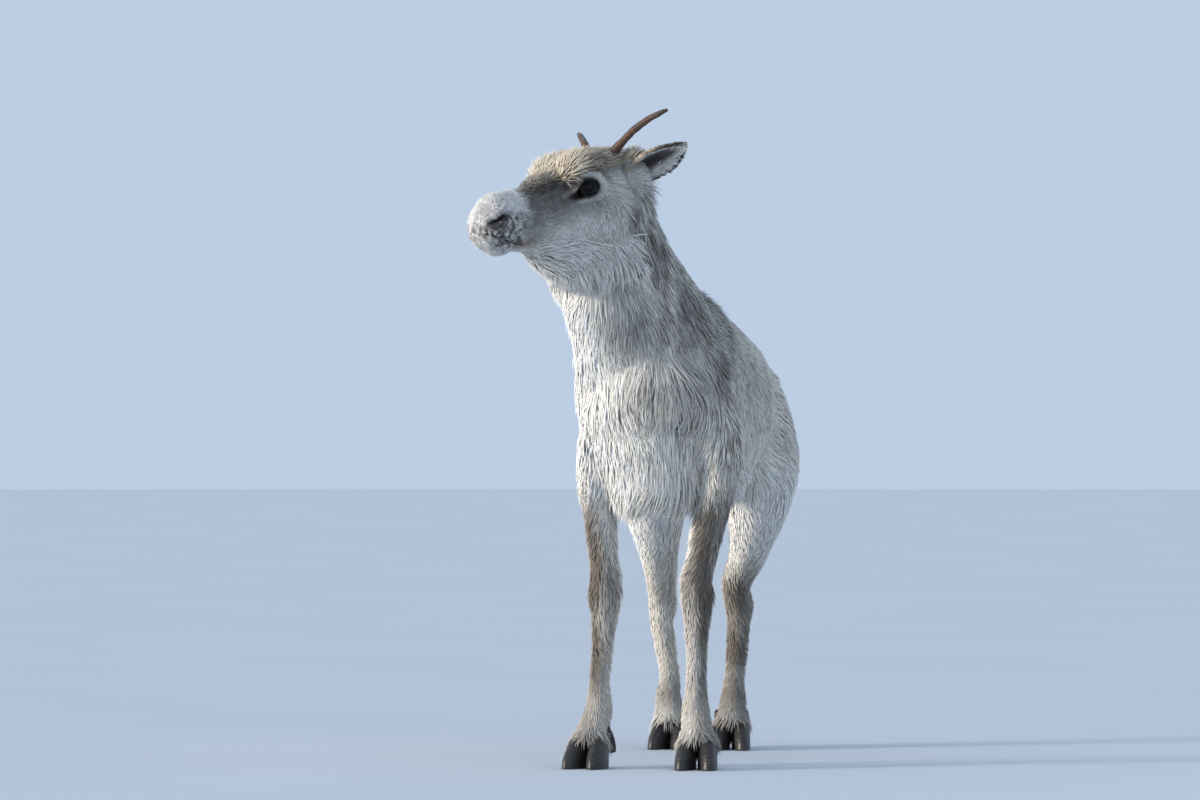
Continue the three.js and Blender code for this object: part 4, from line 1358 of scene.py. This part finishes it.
def hair_sizes(p, n):
    """Length, lift and width of the body's tufts."""
    _, y, z = p.T
    neck = ease(neck_share(p), -0.2, 0.25) * (y < -140)
    throat = ease(-(p @ unit(np.array([0.7, 0.7, 0.0])) + 240), 0, 60)
    chest = (1 - ease(y, -330, -240)) * (1 - ease(z, 600, 680))
    belly = (1 - ease(n[:, 2], -0.7, -0.15)) * ease(z, 370, 390) * (1 - ease(z, 440, 500))
    hanging = belly * (1 - ease(y, -20, 120))
    rump = ease(y, 340, 400) * ease(z, 350, 420)
    leg = leg_mask(p)
    long = 34.0 + 12 * neck + 8 * neck * throat + 18 * chest + (26 * belly + 20 * hanging) + 10 * rump
    long = blended(long, 15 + 15 * ease(z, 250, 400), leg)
    lift = 0.27 + 0.05 * neck + 0.1 * chest + 0.1 * belly + 0.45 * hanging
    return long, lift, blended(2.5, 1.9, leg)


def body_coat(name, number, density, rings, clump, cell_size):
    root, out = sampled(body, number, density)
    keep = ~under_head(root)
    root, out = root[keep], out[keep]
    long, lift, wide = hair_sizes(root, out)
    way = ruffled(body_lie(root, out), out, 0.15)
    dark = 0.74 + 0.12 * rng.random(len(root))
    light = 0.98 + 0.1 * rng.random(len(root))
    coat(name, root, out, way, long, wide, lift, 0.03, markings(root), light, dark, rings, clump, cell_size)


body_coat("coat_long", LONG_TUFTS, lambda p: long_zone(p) + 1e-4, 3, 0.34, 24)
body_coat(
    "coat_flank", FLANK_TUFTS, lambda p: (1 - long_zone(p)) * ease(p[:, 2], 330, 420) + 1e-4, 2, 0.25, 18
)

# The short coat of the legs, longer over the feet
root, out = sampled(body, LEG_TUFTS, lambda p: (1 - ease(p[:, 2], 400, 460)) + 0.001)
way = ruffled(body_lie(root, out), out, 0.14)
long = 25 - 12 * (1 - ease(root[:, 2], 60, 330)) + 12 * (1 - ease(root[:, 2], 45, 80))
coat("coat_legs", root, out, way, long, 1.8, 0.24, 0.16, markings(root), 1.06, 0.7, 2, 0.25, 12)


# The coat of the head
def head_density(p):
    ahead = -to_head(p)[:, 1]
    return 0.7 + 1.3 * ease(ahead, 190, 240) + 0.35 * (1 - ease(ahead, 20, 60))


def hairless(local):
    """Inside the mouth, the lids and the nostrils."""
    gap, _ = mouth_distance(local)
    bare = (np.abs(gap) < 2.2) & (-local[:, 1] > 217)
    for side in (LEFT, RIGHT):
        ahead, above, out = eye_frame(local, side)
        bare |= (lid_measure(ahead, above) < 1.3) & (np.abs(out) < 30)
        rel = local - NOSTRIL * [side, 1, 1]
        hole = np.sqrt(((rel[:, 1] + 3) / 17) ** 2 + ((rel[:, 2] - 0.42 * rel[:, 1] + 1) / 5) ** 2)
        bare |= (hole < 1) & (rel[:, 0] * side > -18)
    return bare


root, out = sampled(head, HEAD_TUFTS, head_density)
local = to_head(root)
keep = ~hairless(local) & (-local[:, 1] > -4)
root, out, local = root[keep], out[keep], local[keep]
ahead = -local[:, 1]
height = local[:, 2]
on_crown = ease(height, top_line(ahead) - 18, top_line(ahead) - 6) * (1 - ease(ahead, 180, 210))
under_jaw = (1 - ease(height, -80, -50)) * (1 - ease(ahead, 196, 236))
long = 11.0 + 16 * (1 - ease(ahead, 50, 120)) * (1 - ease(height, -10, 26)) + 19 * on_crown
long = long + (8 + 18 * ease(ahead, 60, 130)) * under_jaw - 5 * ease(ahead, 200, 245)
for side in (LEFT, RIGHT):
    # Short hair round the eyes
    e_ahead, e_above, e_out = eye_frame(local, side)
    ring = (1 - ease(lid_measure(e_ahead, e_above), 1.6, 3.4)) * (np.abs(e_out) < 34)
    long = long * (1 - 0.74 * ring)
    on_crown = on_crown * (1 - ring)
way = ruffled(head_lie(root, out), out, 0.28)
lift = 0.32 + 0.5 * on_crown + 0.36 * ease(ahead, 235, 262) + 0.22 * under_jaw
wide = 1.9 + 0.6 * (1 - ease(ahead, 70, 140)) - 0.3 * ease(ahead, 200, 240)
coat("coat_head", root, out, way, long, wide, lift, 0.12, markings(root), 1.06, 0.62, 2, 0.25, 9)

# The coat of the ears
root, out, way, long, lift, shade = (np.concatenate(values) for values in zip(*ear_tufts))
coat("coat_ears", root, out, way, long, 1.7, lift, 0.05, shade, 1.08, 0.6, 2, 0.2, 8)

# Lashes along the upper lids
LASHES = 70
lash_roots = []
lash_outs = []
lash_ways = []
for side in (LEFT, RIGHT):
    angle = np.linspace(0.25, math.pi - 0.2, LASHES)
    ahead = LID_AHEAD * np.cos(angle) * 1.02
    above = LID_ABOVE * np.sin(angle) * 1.06
    out = np.sqrt(np.maximum(EYE_RADIUS**2 - ahead**2 - above**2, 0)) + 2.2
    off = np.stack([side * (EYE_CENTRE[0] + out), EYE_CENTRE[1] - ahead, EYE_CENTRE[2] + above], axis=1)
    lash_roots.append(off)
    lash_outs.append(np.tile([side * 0.8, 0, 0.6], (LASHES, 1)))
    lash_ways.append(np.tile([side * 0.8, 0.1, -0.35], (LASHES, 1)) + rng.normal(size=(LASHES, 3)) * 0.15)
root = to_calf(np.concatenate(lash_roots))
out = unit(np.concatenate(lash_outs)) @ HEAD_TURN.T
way = unit(np.concatenate(lash_ways)) @ HEAD_TURN.T
coat("lashes", root, out, way, 8.0, 0.7, 0.3, -0.2, np.tile(BLACKISH * 0.5, (len(root), 1)), 1.0, 1.0, 2)

flesh = ["torso", "neck", "tail"]
for leg_name in LEGS:
    flesh += [f"leg_{leg_name}_upper", f"leg_{leg_name}_lower"]
for obj in (body, head, *made_coats):
    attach(obj, "root")
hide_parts(*flesh)
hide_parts("head")

# Floor and light
FLOOR_REACH = 60.0
FLOOR_SIDES = 96
floor_material, floor_tree, floor_shader = material("studio_floor", 0.9, specular=0.1)
floor_grain = noise_node(floor_tree, 1.4, 6.0)
floor_colour = ramp_node(floor_tree, floor_grain, (0.2, (0.60, 0.64, 0.69)), (0.8, (0.65, 0.69, 0.73)))
floor_tree.links.new(floor_colour, floor_shader.inputs["Base Color"])
angles = np.linspace(0, 2 * math.pi, FLOOR_SIDES, endpoint=False)
floor_points = np.stack([np.cos(angles), np.sin(angles), np.zeros(FLOOR_SIDES)], axis=1) * FLOOR_REACH
floor = make("studio_floor", floor_points, [list(range(FLOOR_SIDES))], place=lambda p: p, smooth=False)
floor.data.materials.append(floor_material)

ALPHA = math.radians(11)
LOOK = np.array([-math.sin(ALPHA), math.cos(ALPHA), 0.0])
SIDEWAYS = np.array([math.cos(ALPHA), math.sin(ALPHA), 0.0])
CHEST = np.array([0.0, -0.1, 0.6])
FILL_AT = CHEST + SIDEWAYS * 2.6 - LOOK * 3.4 + UP * 1.6
KEY_WAY = SIDEWAYS * 0.94 + LOOK * 0.26 - UP * 0.15


def light(name, kind, power, colour, way, **values):
    data = bpy.data.lights.new(name, kind)
    data.energy = power
    data.color = colour
    for key, value in values.items():
        setattr(data, key, value)
    obj = placed(data)
    obj.rotation_euler = Vector(way).to_track_quat("-Z", "Y").to_euler()
    return obj


light("key", "SUN", 4.2, (1.0, 0.92, 0.82), KEY_WAY, angle=math.radians(12))
fill = light("fill", "AREA", 20, (0.72, 0.85, 1.0), Vector(CHEST) - Vector(FILL_AT), shape="DISK", size=3.2)
fill.location = Vector(FILL_AT)
world = bpy.data.worlds.new("studio")
bpy.context.scene.world = world
world.use_nodes = True
sky = world.node_tree.nodes["Background"].inputs
sky["Color"].default_value = (0.63, 0.77, 0.97, 1.0)
sky["Strength"].default_value = 0.80
bpy.context.scene.view_settings.view_transform = "Standard"

# Camera: where the photograph was taken from
CAMERA_AWAY = 8.5
PIXELS_PER_METRE = 650.0
SENSOR_WIDTH = 36.0
IMAGE_WIDTH = 1200.0
IMAGE_MIDDLE = (600.0, 400.0)
FEET_PIXEL = (648.0, 768.0)
LEVEL_ROW = 450.0
FEET = np.array([0.0, -300.0, 0.0])
height = (FEET_PIXEL[1] - LEVEL_ROW) / PIXELS_PER_METRE
aside = (FEET_PIXEL[0] - IMAGE_MIDDLE[0]) / PIXELS_PER_METRE
camera_data = bpy.data.cameras.new("camera")
camera_data.sensor_width = SENSOR_WIDTH
camera_data.lens = SENSOR_WIDTH * PIXELS_PER_METRE * CAMERA_AWAY / IMAGE_WIDTH
camera = placed(camera_data)
camera.location = Vector(to_row(FEET) - LOOK * CAMERA_AWAY - SIDEWAYS * aside + UP * height)
tilt = math.atan((LEVEL_ROW - IMAGE_MIDDLE[1]) / (PIXELS_PER_METRE * CAMERA_AWAY))
camera.rotation_euler = (math.pi / 2 + tilt, 0.0, ALPHA)
bpy.context.scene.camera = camera
